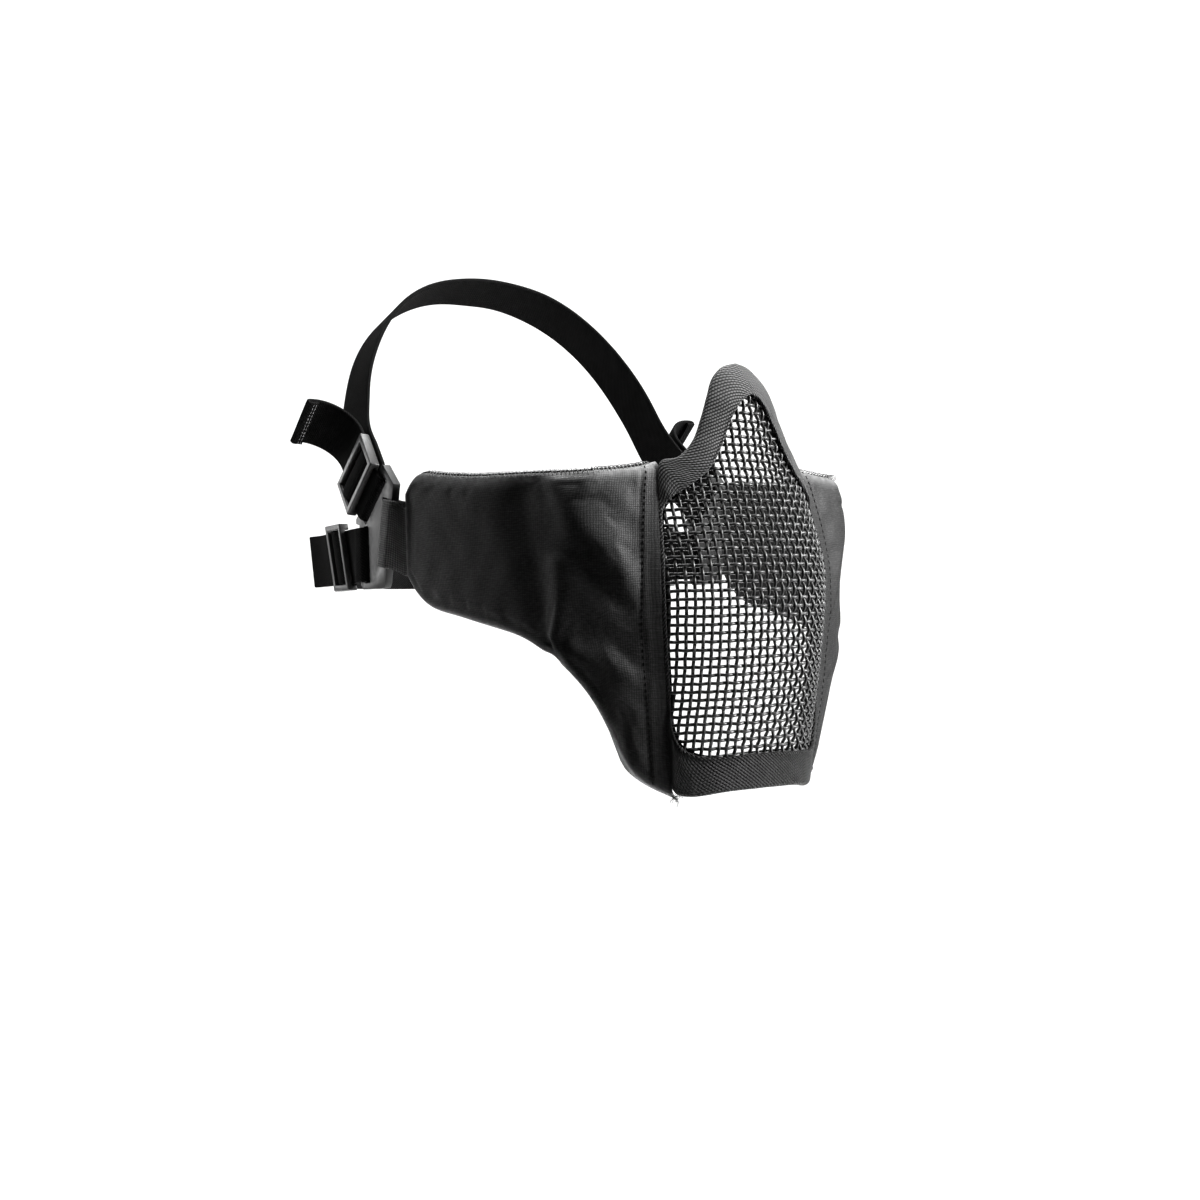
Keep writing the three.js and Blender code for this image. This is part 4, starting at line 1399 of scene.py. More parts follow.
        # the cloth settles at ten times life size
        sheet = new_piece("settling_skin", coarse * 0.01, cells)
        pins = sheet.vertex_groups.new(name="held")
        away = self.edge_distance(self.u, self.z)[picked]
        beside = self.u[picked]
        hold = 1 - smooth(away, 1.5, 5.0) * smooth(beside, self.hem_line, self.hem_line + 5)
        for index, weight in enumerate(hold.ravel()):
            pins.add([index], float(0.04 + 0.96 * weight), "REPLACE")
        cloth = sheet.modifiers.new("cloth", "CLOTH")
        size = cloth.settings
        size.quality, size.mass = 6, 0.25
        size.tension_stiffness = size.compression_stiffness = 25
        size.shear_stiffness, size.bending_stiffness = 12, 1.2
        size.vertex_group_mass, size.pin_stiffness = "held", 2.0
        size.shrink_min = -0.008
        size.use_pressure, size.uniform_pressure_force = True, 1.2
        size.effector_weights.gravity = 0
        cloth.collision_settings.use_collision = False
        cloth.collision_settings.use_self_collision = False
        scene, steps = bpy.context.scene, 16
        for step in range(1, steps + 1):
            scene.frame_set(step)
        settled = sheet.evaluated_get(bpy.context.evaluated_depsgraph_get()).data
        found = np.zeros(len(settled.vertices) * 3, np.float32)
        settled.vertices.foreach_get("co", found)
        moved = found.reshape(coarse.shape).astype(float) * 100 - coarse
        scene.frame_set(1)
        bpy.data.objects.remove(sheet)
        far = np.linalg.norm(moved, axis=-1, keepdims=True)
        moved = moved * np.minimum(1, self.most / np.maximum(far, 1e-9)) * (1 - hold)[..., None]
        longest = float(np.minimum(far, self.most).max())
        log.info("settled skin %s: moves up to %.2f mm", self.side.label, longest)
        full = np.zeros(surface.shape)
        for axis in range(3):
            by_row = np.stack([np.interp(np.arange(columns), pick_c, line) for line in moved[..., axis].T], 1)
            full[..., axis] = np.stack([np.interp(np.arange(rows), pick_r, line) for line in by_row])
        return surface + full

    def eased(self, grid: Array, passes: int = 9) -> Array:
        """A grid with its bends across the wing rounded, as cloth over foam rounds them."""
        for _ in range(passes):
            grid = np.concatenate([grid[:1], (grid[:-2] + 2 * grid[1:-1] + grid[2:]) / 4, grid[-1:]])
        return grid

    def pad_depth(self) -> Array:
        """Thickness of the pad over its grid."""
        along = np.clip(np.minimum(self.stations / 0.5, (CHEEK.end - self.stations) / 0.5), 0, 1)
        fullness = along[:, None] * np.sin(math.pi * self.levels)[None, :].clip(0) ** 0.6
        return self.hem + (self.full - self.hem) * fullness

    def meeting(self, outer: Array, inner: Array, rim: Array) -> None:
        """Brings two grids together along their outline, on the given one's."""
        for grid in (outer, inner):
            for border in (np.s_[0, :], np.s_[-1, :], np.s_[:, 0], np.s_[:, -1]):
                grid[border] = rim[border]

    def shell(self, name: str, outer: Array, inner: Array) -> Piece:
        """A closed skin from two grids that meet along their outline."""
        rings = np.concatenate([outer, inner[:, -2:0:-1]], axis=1)
        v = np.concatenate([self.z, self.z[:, -2:0:-1], self.z[:, :1]], axis=1)
        u = np.concatenate([self.u, self.u[:, -2:0:-1], self.u[:, :1]], axis=1)
        uvs = np.stack([u, v], -1) * MM
        return lofted(name, in_frame(mirrored(rings, self.side)), uvs, caps=False)

    def pad(self) -> Piece:
        """The padded nylon skin, settled and closed."""
        station = self.stations[:, None]
        base, inward = CHEEK.point(station, self.z), CHEEK.inward(station, self.z)
        distance = self.edge_distance(self.u, self.z)
        edge = self.hem / 2
        below_top = self.z[:, -1:] - self.z
        hemmed = self.edge_distance(self.u, self.z, front=False)
        reach = 3.0 - 1.2 * smooth(below_top, 3.0, 9.0)
        rounding = self.arch(hemmed, reach) * self.arch(self.u + 0.1, 0.6)
        shape = (self.sculpted(self.u, self.z, distance) + edge) * rounding - edge
        outer = self.eased(base) - inward * shape[..., None]
        rolled = self.roll(distance, edge)
        outer = self.relaxed(outer)
        inner = base + inward * np.maximum(self.pad_depth() - rolled, edge)[..., None]
        self.meeting(outer, inner, base + inward * edge)
        ahead = unit(base[:1] - base[6:7])
        tuck = self.tuck * (1 - smooth(self.u, 0, 3.0))
        outer, inner = (grid + ahead * tuck[..., None] for grid in (outer, inner))
        piece = self.shell(f"nylon_pad_{self.side.label}", outer, inner)
        self.mark_painted_rim_highlight(piece)
        divide = piece.modifiers.new("divide", "SUBSURF")
        divide.levels = divide.render_levels = 1
        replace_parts(dressed(baked(piece), NYLON), f"cheek_pad_{self.side.label}")
        self.skin = outer
        return piece

    def mark_painted_rim_highlight(self, piece: Piece) -> None:
        """Marks how near each point is to the pad's outline, for the painted highlight that makes its cloth
        paler there.
        """
        mesh = piece.data
        corners = np.zeros(len(mesh.loops) * 2, np.float32)
        mesh.uv_layers.active.data.foreach_get("uv", corners)
        owners = np.zeros(len(mesh.loops), np.int32)
        mesh.loops.foreach_get("vertex_index", owners)
        places = np.zeros((len(mesh.vertices), 2))
        places[owners] = corners.reshape(-1, 2) / MM
        away = self.edge_distance(places[:, 0], places[:, 1], front=False)
        top = np.interp(places[:, 0], self.u[:, -1], self.z[:, -1])
        reach = 1.7 + 1.3 * (1 - smooth(top - places[:, 1], 3, 8))
        rim = mesh.attributes.new("rim", "FLOAT", "POINT")
        rim.data.foreach_set("value", bell(away, reach).astype(np.float32))

    def backing(self) -> Piece:
        """The brushed lining behind the pad, standing a little above its top edge."""
        station = self.stations[:, None]
        at_top = smooth(self.levels, 0.97, 1.0)
        z = self.z + self.rise * at_top * smooth(station, 0.02, 0.2) * (1 - smooth(station, 4.8, 5.0))
        base, inward = CHEEK.point(station, z), CHEEK.inward(station, z)
        distance = self.edge_distance(self.u, z, self.rise)
        distance[:, -1] = 0
        start = np.maximum(self.pad_depth(), self.hem) + GAP
        rolled = self.roll(distance, self.lining / 2)
        lumps = 0.12 * np.sin(self.u / 1.7 + np.sin(z / 3.3)) * np.sin(z / 2.1) * smooth(distance, 1, 5)
        ragged = 0.1 * np.sin(self.u * 2.7) * np.sin(self.u * 1.13 + 1) * smooth(self.levels, 0.985, 1.0)
        outer = base + inward * (start + rolled)[..., None]
        inner = base + inward * (start + self.lining + lumps - rolled)[..., None]
        outer[..., 2] += ragged
        inner[..., 2] += ragged
        middle = (outer + inner) / 2
        self.meeting(outer, inner, middle)
        piece = self.shell(f"brushed_lining_{self.side.label}", outer, inner)
        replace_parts(dressed(piece, FLEECE), f"cheek_lining_{self.side.label}")
        self.top = middle[:, -1]
        return piece

    def skin_line(self, u: Array, z: Array) -> tuple[Array, Array]:
        """Finds places on the finished skin.

        Args:
            u: Places back from the seam along the cloth.
            z: Their heights.

        Returns:
            The points, and the directions straight out of the skin there.
        """
        column = np.array([np.interp(a, self.u[:, self.rows // 2], np.arange(self.columns)) for a in u])
        points, outward = [], []
        for c, height in zip(column, z):
            i = int(min(c, self.columns - 2))
            t = c - i
            row = self.z[i] * (1 - t) + self.z[i + 1] * t
            k = float(np.interp(height, row, np.arange(self.rows)))
            j = int(min(k, self.rows - 2))
            w = k - j
            corner = self.skin[i:i + 2, j:j + 2]
            across, up = corner[1, 0] - corner[0, 0], corner[0, 1] - corner[0, 0]
            below, above = corner[0] * (1 - t) + corner[1] * t
            points.append(below * (1 - w) + above * w)
            outward.append(unit(np.cross(up, across)))
        return np.array(points), np.array(outward)

    def seam_stitches(self, tree: Tree) -> Piece:
        """The row of stitches that holds the pad to the tape, a little behind its front edge."""
        z = np.linspace(CHEEK.low.at(0.25)["z"] + 1.2, 110.8, 60)
        places = resampled(np.stack([np.full(len(z), self.hem_line), z], 1), 1.0)
        points, outward = self.skin_line(places[:, 0], places[:, 1])
        points = in_frame(mirrored(points + outward * 0.04, self.side))
        guide = guide_line(points, {"Lift": mirrored(outward, self.side)})
        piece = tree.grown(f"seam_stitches_{self.side.label}", guide, {
            "Pitch": 2.2 * MM, "Length": 1.35 * MM, "Thread": 0.42 * MM, "Material": SEAM_THREAD.material,
        })
        return dressed(piece, SEAM_THREAD)

    def sewing(self, stitches: Tree, overcast: Tree, fibres: Tree) -> None:
        """Adds the stitching beside the seam, the overcast top edge and its lint.

        Args:
            stitches: The tree that lays stitches.
            overcast: The tree that winds thread.
            fibres: The tree that scatters fibres.
        """
        label = self.side.label
        self.seam_stitches(stitches)
        middle = slice(6, self.columns - 17)
        line = self.top[middle]
        inward = CHEEK.inward(self.stations[middle], line[:, 2])
        line = line - inward * 1.35 - np.array([0, 0, 0.9])
        guide = guide_line(in_frame(mirrored(line, self.side)), {
            "Out": mirrored(-inward, self.side) * 2.15 * MM,
            "Rise": np.tile([0, 0, 1.35 * MM], (len(line), 1)),
        })
        piece = overcast.grown(f"overcast_thread_{label}", guide, {
            "Pitch": 1.55 * MM, "Step": 0.16 * MM, "Thread": 0.15 * MM, "Material": SEWING.material,
        })
        dressed(piece, SEWING)
        edge = self.top[8:-13]
        strip = np.stack([edge - np.array([0, 0, 0.5]), edge + np.array([0, 0, 0.1])], 1)
        faces = [(2 * i, 2 * i + 1, 2 * i + 3, 2 * i + 2) for i in range(len(edge) - 1)]
        base = new_piece("lint_guide", in_frame(mirrored(strip, self.side)), faces)
        lint = fibres.grown(f"edge_lint_{label}", base, {
            "Density": 1.6e7, "Length": 1.15 * MM, "Radius": 0.032 * MM, "Seed": 7, "Material": LINT.material,
        })
        dressed(lint, LINT)
        if self.side is Side.RIGHT:
            self.thread_tail(fibres)

    def thread_tail(self, fibres: Tree) -> None:
        """The cut ends of the seam's thread at the wing's lower front corner."""
        corner = self.skin[0, 1] + np.array([0, -0.4, -0.2])
        spot = corner + np.array([[-0.7, 0, -0.3], [0.7, 0, -0.3], [0.7, 0, 0.5], [-0.7, 0, 0.5]])
        guide = new_piece("tail_guide", in_frame(mirrored(spot, self.side)), [(0, 1, 2, 3)])
        tail = fibres.grown(f"thread_tail_{self.side.label}", guide, {
            "Density": 2.2e7, "Length": 3.1 * MM, "Radius": 0.11 * MM, "Seed": 11, "Material": LINT.material,
        })
        dressed(tail, LINT)

    def build(self, stitches: Tree, overcast: Tree, fibres: Tree) -> None:
        """Builds the wing."""
        self.pad()
        self.backing()
        self.sewing(stitches, overcast, fibres)


# ---------------- webbing, straps and plastic

BUCKLE_X, BUCKLE_THICKNESS, BAR = -79.0, 3.0, 3.2
STRAP_WIDTH, STRAP_THICKNESS = 20.0, 1.5
Placer = Callable[[Array, Array, Array], Array]


def rounded(points: Array, passes: int = 2) -> Array:
    """A line with its corners cut, its ends kept."""
    for _ in range(passes):
        near, far = points[:-1] * 0.75 + points[1:] * 0.25, points[:-1] * 0.25 + points[1:] * 0.75
        cut = np.empty((2 * len(near), points.shape[1]))
        cut[0::2], cut[1::2] = near, far
        points = np.concatenate([points[:1], cut, points[-1:]])
    return points


@dataclass
class Band:
    """A flat woven band along a line of outward distance and reach, with soft edges."""

    width: float
    thickness: float
    place: Placer
    step: float = 0.7
    edge: float = 0.55

    def section(self) -> tuple[Array, Array]:
        """Places across the band and heights off its middle, round one section."""
        half, deep = self.width / 2, self.thickness / 2
        angles = np.linspace(-math.pi / 2, math.pi / 2, 7)
        side = np.stack([half - self.edge + self.edge * np.cos(angles), deep * np.sin(angles)], 1)
        flat = np.linspace(-(half - self.edge), half - self.edge, 13)[1:-1]
        top = np.stack([flat[::-1], np.full(len(flat), deep)], 1)
        other = np.stack([-side[::-1, 0], side[::-1, 1]], 1)
        bottom = np.stack([flat, np.full(len(flat), -deep)], 1)
        whole = np.concatenate([side, top, other, bottom])
        return whole[:, 0], whole[:, 1]

    def build(self, name: str, line: Array, sway: float = 0.0) -> Piece:
        """Makes the band.

        Args:
            name: The piece's name.
            line: Rows of x and reach, in millimetres.
            sway: Depth in millimetres of the slow ripple that a used band has.

        Returns:
            The piece.
        """
        line = resampled(line, self.step)
        along = unit(np.gradient(line, axis=0))
        across, height = self.section()
        run = running(line)
        ripple = sway * np.sin(run / 6.3 + 1.1 * np.sin(run / 17.0))[:, None] * np.sin(across / 6.0)[None, :]
        lift = height[None, :] + ripple
        x = line[:, :1] - along[:, 1:] * lift
        reach = line[:, 1:] + along[:, :1] * lift
        rings = self.place(x, reach, np.broadcast_to(across, x.shape))
        around = round_section(across, height)
        uvs = np.stack(np.broadcast_arrays(run[:, None], around[None, :]), -1) * MM
        return lofted(name, in_frame(rings), uvs)


def wrapped(clear: float, bar: float, outer: float, inner: float) -> Array:
    """Leads a layer round a buckle's bar: in at its outer face and back at the inner one.

    Args:
        clear: From the bar to the layer's middle.
        bar: The bar's length front to back.
        outer: The angle at which it comes in, or 0 for straight.
        inner: The angle at which it leaves.

    Returns:
        Rows of x and reach.
    """
    def at(side: int, end: int, angle: float) -> tuple[float, float]:
        """One corner point."""
        return (
            BUCKLE_X - side * (BUCKLE_THICKNESS / 2 + clear * math.cos(angle)),
            end * (bar / 2 + clear * math.sin(angle)),
        )
    quarter = np.linspace(0, math.pi / 2, 6)
    points = [at(1, 1, outer)] if outer else []
    points += [at(1, 1, 0), *(at(1, -1, angle) for angle in quarter)]
    points += [at(-1, -1, math.pi / 2 - angle) for angle in quarter]
    return np.array([*points, at(-1, 1, 0), at(-1, 1, inner)])


@dataclass
class Strap:
    """One elastic strap: from its free end through its slider and buckle, and round the head.

    Lengths are in millimetres and angles in degrees.
    """

    name: str
    back: float  # where the buckle's bar is, from front to back
    height: float  # the same bar's height above the mask's lower edge
    climb: float  # the strap's slope where it leaves the bar
    rise: float  # its slope further back
    lean: float  # how far it leans in towards the head
    cant: float  # how far its width is tipped from upright
    under: float  # the tail's height above the buckle's plane, at the slider
    slider: float  # from the bar to the slider's middle
    around: float  # how far round the head reaches
    bulge: float  # how full its course round the head is
    tail: tuple[float, float, float]  # straight, radius, turn
    hemmed: bool
    main_out: float = -1.4  # the main run's height above the buckle's plane
    slider_length: float = 17.6
    rise_start: float = 9.0  # past the slider, where the slope starts to change
    rise_length: float = 26.0

    def placer(self, steady: bool) -> Placer:
        """Makes the function that puts points of the strap in place.

        Args:
            steady: Whether the strap keeps the slope that it leaves its bar at.

        Returns:
            A function of x, reach and place across the band.
        """
        climb = math.radians(self.climb)
        rise = climb if steady else math.radians(self.rise)
        lean, cant = math.radians(self.lean), math.radians(self.cant)
        start = self.slider + self.rise_start
        step = 0.25
        fine = np.arange(-40.0, 260.0, step)
        angle = climb + (rise - climb) * smooth(fine, start, start + self.rise_length)
        zero = int(np.searchsorted(fine, 0.0))
        backs, heights = np.cumsum(np.cos(angle)) * step, np.cumsum(np.sin(angle)) * step
        backs, heights = backs - backs[zero] + self.back, heights - heights[zero] + self.height

        def place(x: Array, reach: Array, across: Array) -> Array:
            """Points from outward distance, reach and place across the band."""
            canted = cant * smooth(reach, 3, 9) * (1 - smooth(reach, start, self.around))
            stand, out = across * np.cos(canted), across * np.sin(canted)
            along = reach + out * math.sin(lean)
            turned = np.interp(along, fine, angle)
            return np.stack([
                x + np.sign(x) * out * math.cos(lean),
                np.interp(along, fine, backs) - stand * np.sin(turned),
                np.interp(along, fine, heights) + stand * np.cos(turned),
            ], -1)

        return place

    def leaning(self, out: float, along: float) -> tuple[float, float]:
        """x and reach of a height above the buckle's plane and a distance from the bar."""
        cosine, sine = math.cos(math.radians(self.lean)), math.sin(math.radians(self.lean))
        return BUCKLE_X - out * cosine + along * sine, along * cosine + out * sine

    def end_line(self) -> Array:
        """The right-hand end, from the free tip to where the strap starts round the head."""
        straight, radius, turn = self.tail
        half = self.slider_length / 2
        bend = self.slider + half + straight
        free = [
            self.leaning(self.under + radius * (1 - math.cos(angle)), bend + radius * math.sin(angle))
            for angle in np.linspace(math.radians(turn), 0, 18)
        ]
        rail = self.under + STRAP_THICKNESS / 2 + GAP + 1.1
        over = rail - 1.6 + 1.0 + GAP + STRAP_THICKNESS / 2
        weave = [
            (self.under, self.slider + half), (self.under, self.slider + 5.6),
            (over, self.slider + 2.3), (over, self.slider - 2.3),
            (self.under, self.slider - 5.6), (self.under, self.slider - half + 0.2),
        ]
        lead = [
            self.leaning(self.main_out, along) for along in (max(self.slider - half, 5), self.slider + half)
        ]
        outer = 0.0 if self.under > BUCKLE_THICKNESS / 2 else math.pi / 3
        round_bar = wrapped(GAP + STRAP_THICKNESS / 2, BAR, outer, math.pi / 3)
        line = np.array([*free, *(self.leaning(*spot) for spot in weave)])
        whole = np.concatenate([line, round_bar, np.array(lead)])
        if self.hemmed:
            whole = np.concatenate([self.turned_end(whole), whole])
        return whole

    def turned_end(self, line: Array) -> Array:
        """Folds the tip back on the outside.

        Args:
            line: The strap's line, from its free tip.

        Returns:
            The rows that go before it.
        """
        length, layer = 3.4, STRAP_THICKNESS + 0.06
        along = unit(line[1] - line[0])
        out = np.array([along[1], -along[0]])
        tip = line[0]
        fine = resampled(line[:12], 0.6)
        back = fine[running(fine) < length][::-1]
        course = unit(np.gradient(back, axis=0))
        beside = np.stack([-course[:, 1], course[:, 0]], 1)
        outer = back + beside * layer * (1 if np.dot(beside[-1], out) > 0 else -1)
        centre = tip + out * layer / 2
        bulb = [
            centre + out * layer / 2 * math.cos(angle) - along * layer / 2 * math.sin(angle)
            for angle in np.linspace(0.3, math.pi - 0.3, 7)
        ]
        return np.concatenate([outer, np.array(bulb)])

    def line(self) -> Array:
        """The whole strap's line, from one free end to the other."""
        power = 2 / self.bulge
        width_x, reach = self.leaning(self.main_out, self.slider + self.rise_start)
        start = math.asin((reach / self.around) ** (1 / power))
        width = width_x / math.cos(start) ** power
        angles = np.linspace(start, math.pi / 2, 60)
        rest = np.stack([width * np.cos(angles).clip(0) ** power, self.around * np.sin(angles) ** power], 1)
        right = np.concatenate([self.end_line(), rest])
        left = right[:-1][::-1] * np.array([-1, 1])
        return np.concatenate([right, left])

    def build(self, stitches: Tree) -> Piece:
        """Makes the strap and the stitching of its turned end.

        Args:
            stitches: The tree that lays stitches.

        Returns:
            The strap.
        """
        line = self.line()
        steady, turning = self.placer(True), self.placer(False)
        lean = math.sin(math.radians(self.lean))

        def place(x: Array, reach: Array, across: Array) -> Array:
            """Uses the steady angle outside the head's side and the turning one round it."""
            outside = np.abs(x) > abs(BUCKLE_X) - 0.5 * (self.slider + self.rise_start) * lean - 1.0
            at_tail = (outside & (reach < 200))[..., None]
            return np.where(at_tail, steady(x, reach, across), turning(x, reach, across))

        chooser = turning if self.climb == self.rise else place
        smoothed = rounded(line)
        piece = Band(STRAP_WIDTH, STRAP_THICKNESS, chooser).build(f"elastic_{self.name}", smoothed, sway=0.12)
        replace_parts(dressed(piece, ELASTIC), self.name)
        length = running(chooser(smoothed[:, 0], smoothed[:, 1], np.zeros(len(smoothed))))[-1]
        log.info("%s: %.0f mm long", self.name, length)
        if self.hemmed:
            self.tacked(stitches, chooser, line)
        return piece

    def tacked(self, stitches: Tree, place: Placer, line: Array) -> None:
        """Sews down the turned end on the right with two rows of stitches across it.

        Args:
            stitches: The tree that lays them.
            place: What puts the strap's points in place.
            line: The strap's line.
        """
        fine = resampled(line[:40], 0.1)
        along = unit(np.gradient(fine, axis=0))
        run = running(fine)
        under = fine[int(np.searchsorted(run, 9.0))]
        rows = []
        for distance in (0.8, 1.9):
            index = int(np.searchsorted(run, distance))
            normal = np.array([-along[index, 1], along[index, 0]])
            normal = normal * (1 if np.dot(fine[index] - under, normal) > 0 else -1)
            rows.append((fine[index] + normal * (STRAP_THICKNESS / 2 + 0.03), normal))
        reach = STRAP_WIDTH / 2 - 1.2
        across = np.linspace(-reach, reach, 40)
        for number, (spot, normal) in enumerate(rows, 1):
            points, ahead = (
                place(np.full(40, at[0]), np.full(40, at[1]), across) for at in (spot, spot + normal * 0.1)
            )
            guide = guide_line(in_frame(points), {"Lift": unit(ahead - points)})
            piece = stitches.grown(f"{self.name}_stitches_{number}", guide, {
                "Pitch": 1.5 * MM, "Length": 1.1 * MM, "Thread": 0.4 * MM, "Material": SEWING.material,
            })
            dressed(piece, SEWING)


@dataclass
class Moulding:
    """A plastic part on the shape of its solid, with the soft edges of a moulding."""

    node: str
    radius: float = 0.5
    segments: int = 3

    def build(self) -> Piece:
        """Copies the solid, joins its loose faces into flats and rounds its edges."""
        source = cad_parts[self.node].data
        mesh = source.copy()
        mesh.name = f"moulded_{self.node}"
        work = bmesh.new()
        work.from_mesh(mesh)
        bmesh.ops.remove_doubles(work, verts=work.verts, dist=2e-6)
        bmesh.ops.dissolve_limit(work, angle_limit=math.radians(2), verts=work.verts, edges=work.edges)
        work.to_mesh(mesh)
        work.free()
        piece = placed(f"moulded_{self.node}", mesh)
        bevel = piece.modifiers.new("soften", "BEVEL")
        bevel.width, bevel.segments = self.radius * MM, self.segments
        bevel.limit_method, bevel.angle_limit = "ANGLE", math.radians(30)
        bevel.use_clamp_overlap = True
        baked(piece)
        tidied(piece, merge=2e-6, angle=35)
        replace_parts(dressed(piece, PLASTIC), self.node)
        return piece


@dataclass
class WebbingTab:
    """Webbing folded round the buckle's front bar and sewn into the pad's rear edge."""

    side: Side
    width: float = 24.5
    thickness: float = 1.4
    back: float = -5.5  # where the buckle's front bar is, from front to back
    height: float = 94.0  # the same bar's height above the mask's lower edge
    tilt: float = 12.0
    length: float = 6.0
    drop: float = 2.0  # how far it sinks on its way to the pad
    hem: float = 2.2
    lining: float = 1.2

    def build(self) -> Piece:
        """Makes the tab."""
        tilt = math.radians(self.tilt)
        cosine, sine = math.cos(tilt), math.sin(tilt)

        def place(x: Array, reach: Array, across: Array) -> Array:
            """Tilts the tab with its bar and brings it upright at the pad."""
            share = smooth(reach, self.length / 2, self.length)
            turned = tilt * (1 - share)
            points = np.stack([
                x,
                self.back - reach * cosine - across * np.sin(turned),
                self.height - reach * sine - self.drop * share + across * np.cos(turned),
            ], -1)
            return mirrored(points, self.side)

        height = self.height - self.length * sine - self.drop
        rim = CHEEK.point(np.array(CHEEK.end), np.array(height))
        inward = CHEEK.inward(np.array(CHEEK.end), np.array(height))

        def at(depth: float, away: float) -> tuple[float, float]:
            """A point beside the pad's rear edge."""
            return (
                float(rim[0] + inward[0] * depth - inward[1] * away),
                float((self.back - rim[1] - inward[1] * depth - inward[0] * away) / cosine),
            )

        spread, middle = (self.thickness + GAP) / 2, (self.hem + GAP + self.lining) / 2
        line = np.concatenate([
            [at(middle - spread, -0.6), at(middle - spread, 4 * GAP)],
            wrapped(GAP + self.thickness / 2, BAR, math.pi / 4, math.pi / 4),
            [at(middle + spread, 4 * GAP), at(middle + spread, -0.6)],
        ])
        band = Band(self.width, self.thickness, place, step=0.45)
        piece = band.build(f"webbing_fold_{self.side.label}", rounded(line, 1))
        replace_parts(dressed(piece, WEBBING), f"webbing_tab_{self.side.label}")
        return piece


STRAPS = (
    Strap(
        "upper_strap", back=4.9, height=108.7, climb=46, rise=70, lean=10, cant=0, under=2.5,
        slider=10.6, around=101, bulge=2.3, tail=(5.5, 14, 105), hemmed=True,
    ),
    Strap(
        "lower_strap", back=12.0, height=87.2, climb=0, rise=0, lean=12, cant=7, under=1.2,
        slider=21.4, around=88, bulge=2.05, tail=(12.3, 42, 17), hemmed=False,
    ),
)


# ---------------- studio


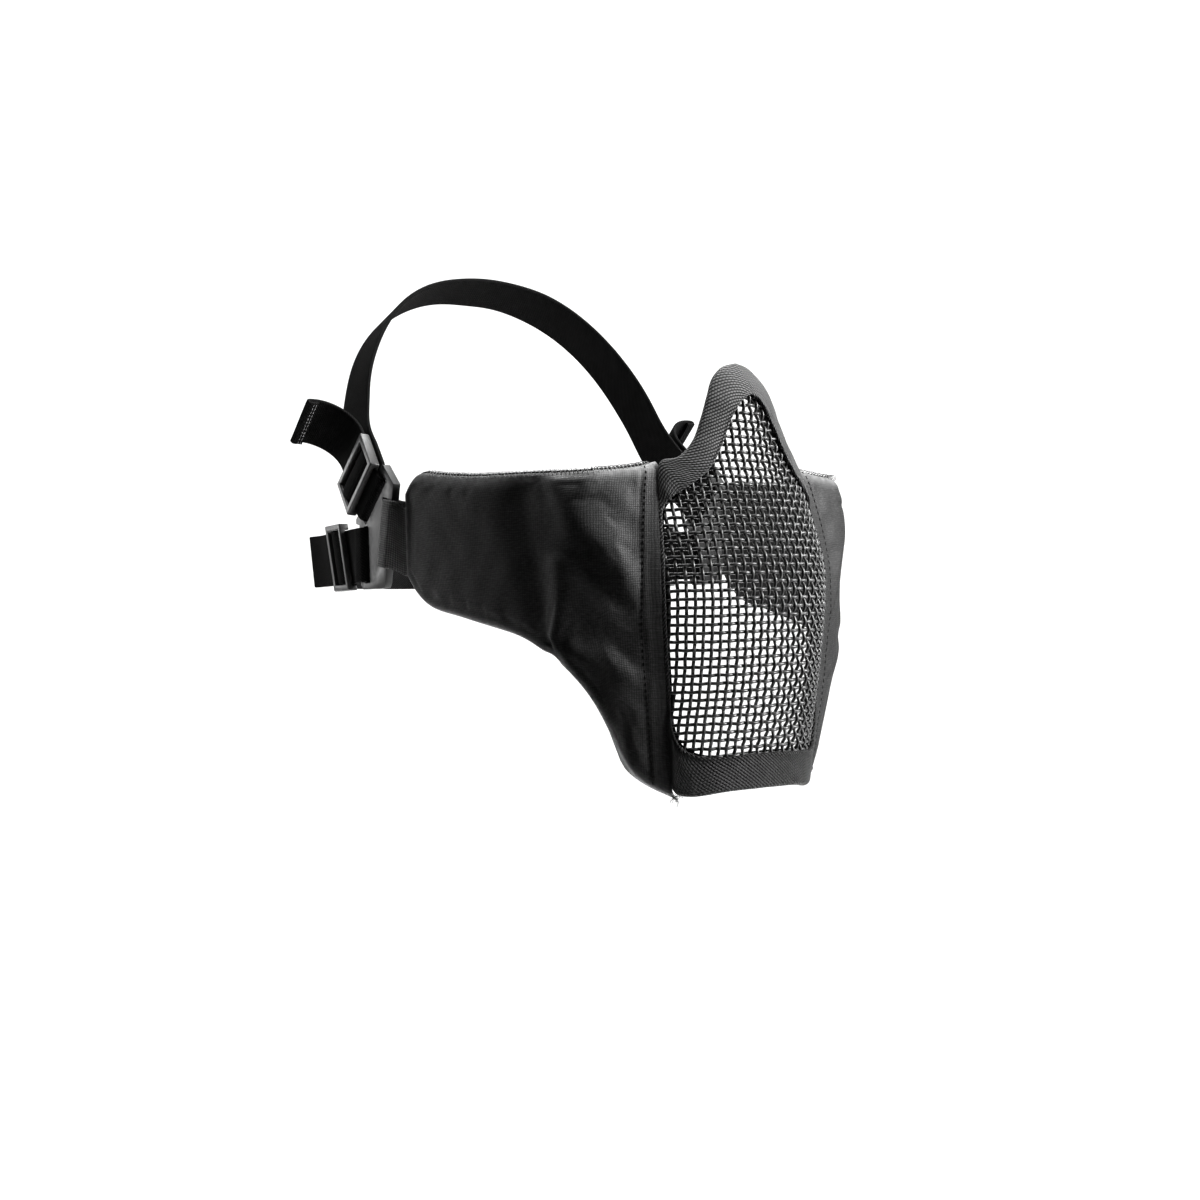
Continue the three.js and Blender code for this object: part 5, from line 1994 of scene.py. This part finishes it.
@dataclass
class Studio:
    """A short pale sweep in a white surround, soft lights and the camera."""

    forward: Vector = field(default_factory=lambda: Vector((0.61210819, 0.79059982, 0.01659821)))
    right: Vector = field(default_factory=lambda: Vector((0.79063061, -0.61146259, -0.03188654)))
    up: Vector = field(default_factory=lambda: Vector((0.01506031, -0.03264106, 0.99935367)))
    eye: Vector = field(default_factory=lambda: Vector((-0.43082, -0.479885, -0.08866)))
    lens: float = 56.16
    floor: float = -0.235
    middle: Vector = field(default_factory=lambda: Vector((0, 0.04, -0.06)))

    @property
    def level(self) -> tuple[Vector, Vector]:
        """The camera's way ahead and to its right, both level."""
        ahead = Vector((self.forward.x, self.forward.y, 0)).normalized()
        return ahead, Vector((ahead.y, -ahead.x, 0))

    def camera(self) -> None:
        """Sets the camera."""
        data = bpy.data.cameras.new("camera")
        data.lens, data.sensor_width = self.lens, 36.0
        data.clip_start, data.clip_end = 0.01, 50
        camera = placed("camera", data)
        basis = Matrix((self.right, self.up, -self.forward)).transposed()
        camera.matrix_world = Matrix.Translation(self.eye) @ basis.to_4x4()
        bpy.context.scene.camera = camera

    def sweep(self) -> None:
        """Lays the floor and the backdrop that it curves up into.

        The floor starts just in front of the mask's middle, so that it throws little light up.
        """
        ahead, beside = self.level
        front, curve, half = -0.08, 1.2, 0.5
        profile = [(front, 0.0), (curve, 0.0)]
        profile += [
            (curve + curve * math.sin(angle), curve - curve * math.cos(angle))
            for angle in np.linspace(0.1, math.pi / 2, 14)
        ]
        points = [
            tuple(ahead * depth + beside * wide + Vector((0, 0, self.floor + rise)))
            for wide in (-half, half) for depth, rise in profile
        ]
        count = len(profile)
        faces = [(count + i, count + i + 1, i + 1, i) for i in range(count - 1)]
        sweep = new_piece("studio_sweep", np.array(points), faces)
        for face in sweep.data.polygons:
            face.use_smooth = True
        shader = Shader("pale_paint", 0.9, specular=0.1)
        shader.paint(shader.blend(shader.noise(3, 2), grey(0.88), grey(0.92)))
        sweep.data.materials.append(shader.material)

    def light(
        self, name: str, offset: tuple[float, float, float], size: float, power: float,
        aim: tuple[float, float, float] = (0.0, 0.0, 0.0), spread: float = 180.0,
    ) -> None:
        """Hangs a square soft light.

        Args:
            name: The light's name.
            offset: Its place to the right, forward and up from the mask's middle, in metres.
            size: The length of its side.
            power: Its power in watts.
            aim: Where it points, measured as its place is.
            spread: The whole angle of its beam, in degrees, as a honeycomb grid narrows it.
        """
        data = bpy.data.lights.new(name, "AREA")
        data.shape, data.size, data.energy, data.spread = "SQUARE", size, power, math.radians(spread)
        lamp = placed(name, data)
        ahead, beside = self.level
        place, target = (
            self.middle + beside * spot[0] + ahead * spot[1] + Vector((0, 0, spot[2]))
            for spot in (offset, aim)
        )
        lamp.location = place
        lamp.rotation_euler = (target - place).to_track_quat("-Z", "Y").to_euler()

    def surround(self) -> None:
        """Sets a world that is seen white and yet lights the mask only faintly."""
        faint, more_where_seen = 0.15, 1.0
        world = bpy.data.worlds.new("studio")
        world.use_nodes = True
        nodes = Nodes(world.node_tree, "ShaderNode")
        paper = nodes.net.nodes["Background"]
        paper.inputs["Color"].default_value = (1, 1, 1, 1)
        seen = nodes.add("LightPath").outputs["Is Camera Ray"]
        strength = nodes.math("MULTIPLY_ADD", seen, more_where_seen, faint)
        nodes.plug(strength, paper.inputs["Strength"])
        bpy.context.scene.world = world

    def build(self) -> None:
        """Sets up the whole studio."""
        self.camera()
        self.sweep()
        self.surround()
        colours = bpy.context.scene.view_settings
        colours.view_transform, colours.look = "Standard", "Medium High Contrast"
        self.light("key", (1.2, -0.25, 0.45), 0.45, 8.4, spread=45)
        self.light("top", (-0.2, -0.1, 1.1), 0.4, 1.8, spread=50)
        self.light("top_back", (0.0, 0.7, 1.0), 0.4, 1.8, spread=50)
        self.light("edge", (0.9, 0.35, 0.25), 0.5, 0.9)
        self.light("side_card", (-0.62, 0.3, 0.12), 0.35, 2.6)
        self.light("sweep_wash", (0.0, 0.6, 1.9), 1.6, 60, aim=(0.0, 2.2, 0.5))


# ---------------- the mask


def main() -> None:
    """Builds the mask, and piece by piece."""
    logging.basicConfig(level=logging.INFO, format="%(message)s", force=True)
    Studio().build()
    stitches, overcast, fibres = stitch_tree(), overcast_tree(), fibre_tree()
    WireShield().build()
    TapeBinding().build()
    for side, folds in ((Side.RIGHT, RIGHT_FOLDS), (Side.LEFT, LEFT_FOLDS)):
        CheekWing(side, folds).build(stitches, overcast, fibres)
        WebbingTab(side).build()
        Moulding(f"three_way_buckle_{side.label}", radius=0.45).build()
        for which in ("upper", "lower"):
            Moulding(f"{which}_slider_{side.label}", radius=0.55).build()
    for strap in STRAPS:
        strap.build(stitches)


if __name__ == "__main__":
    main()
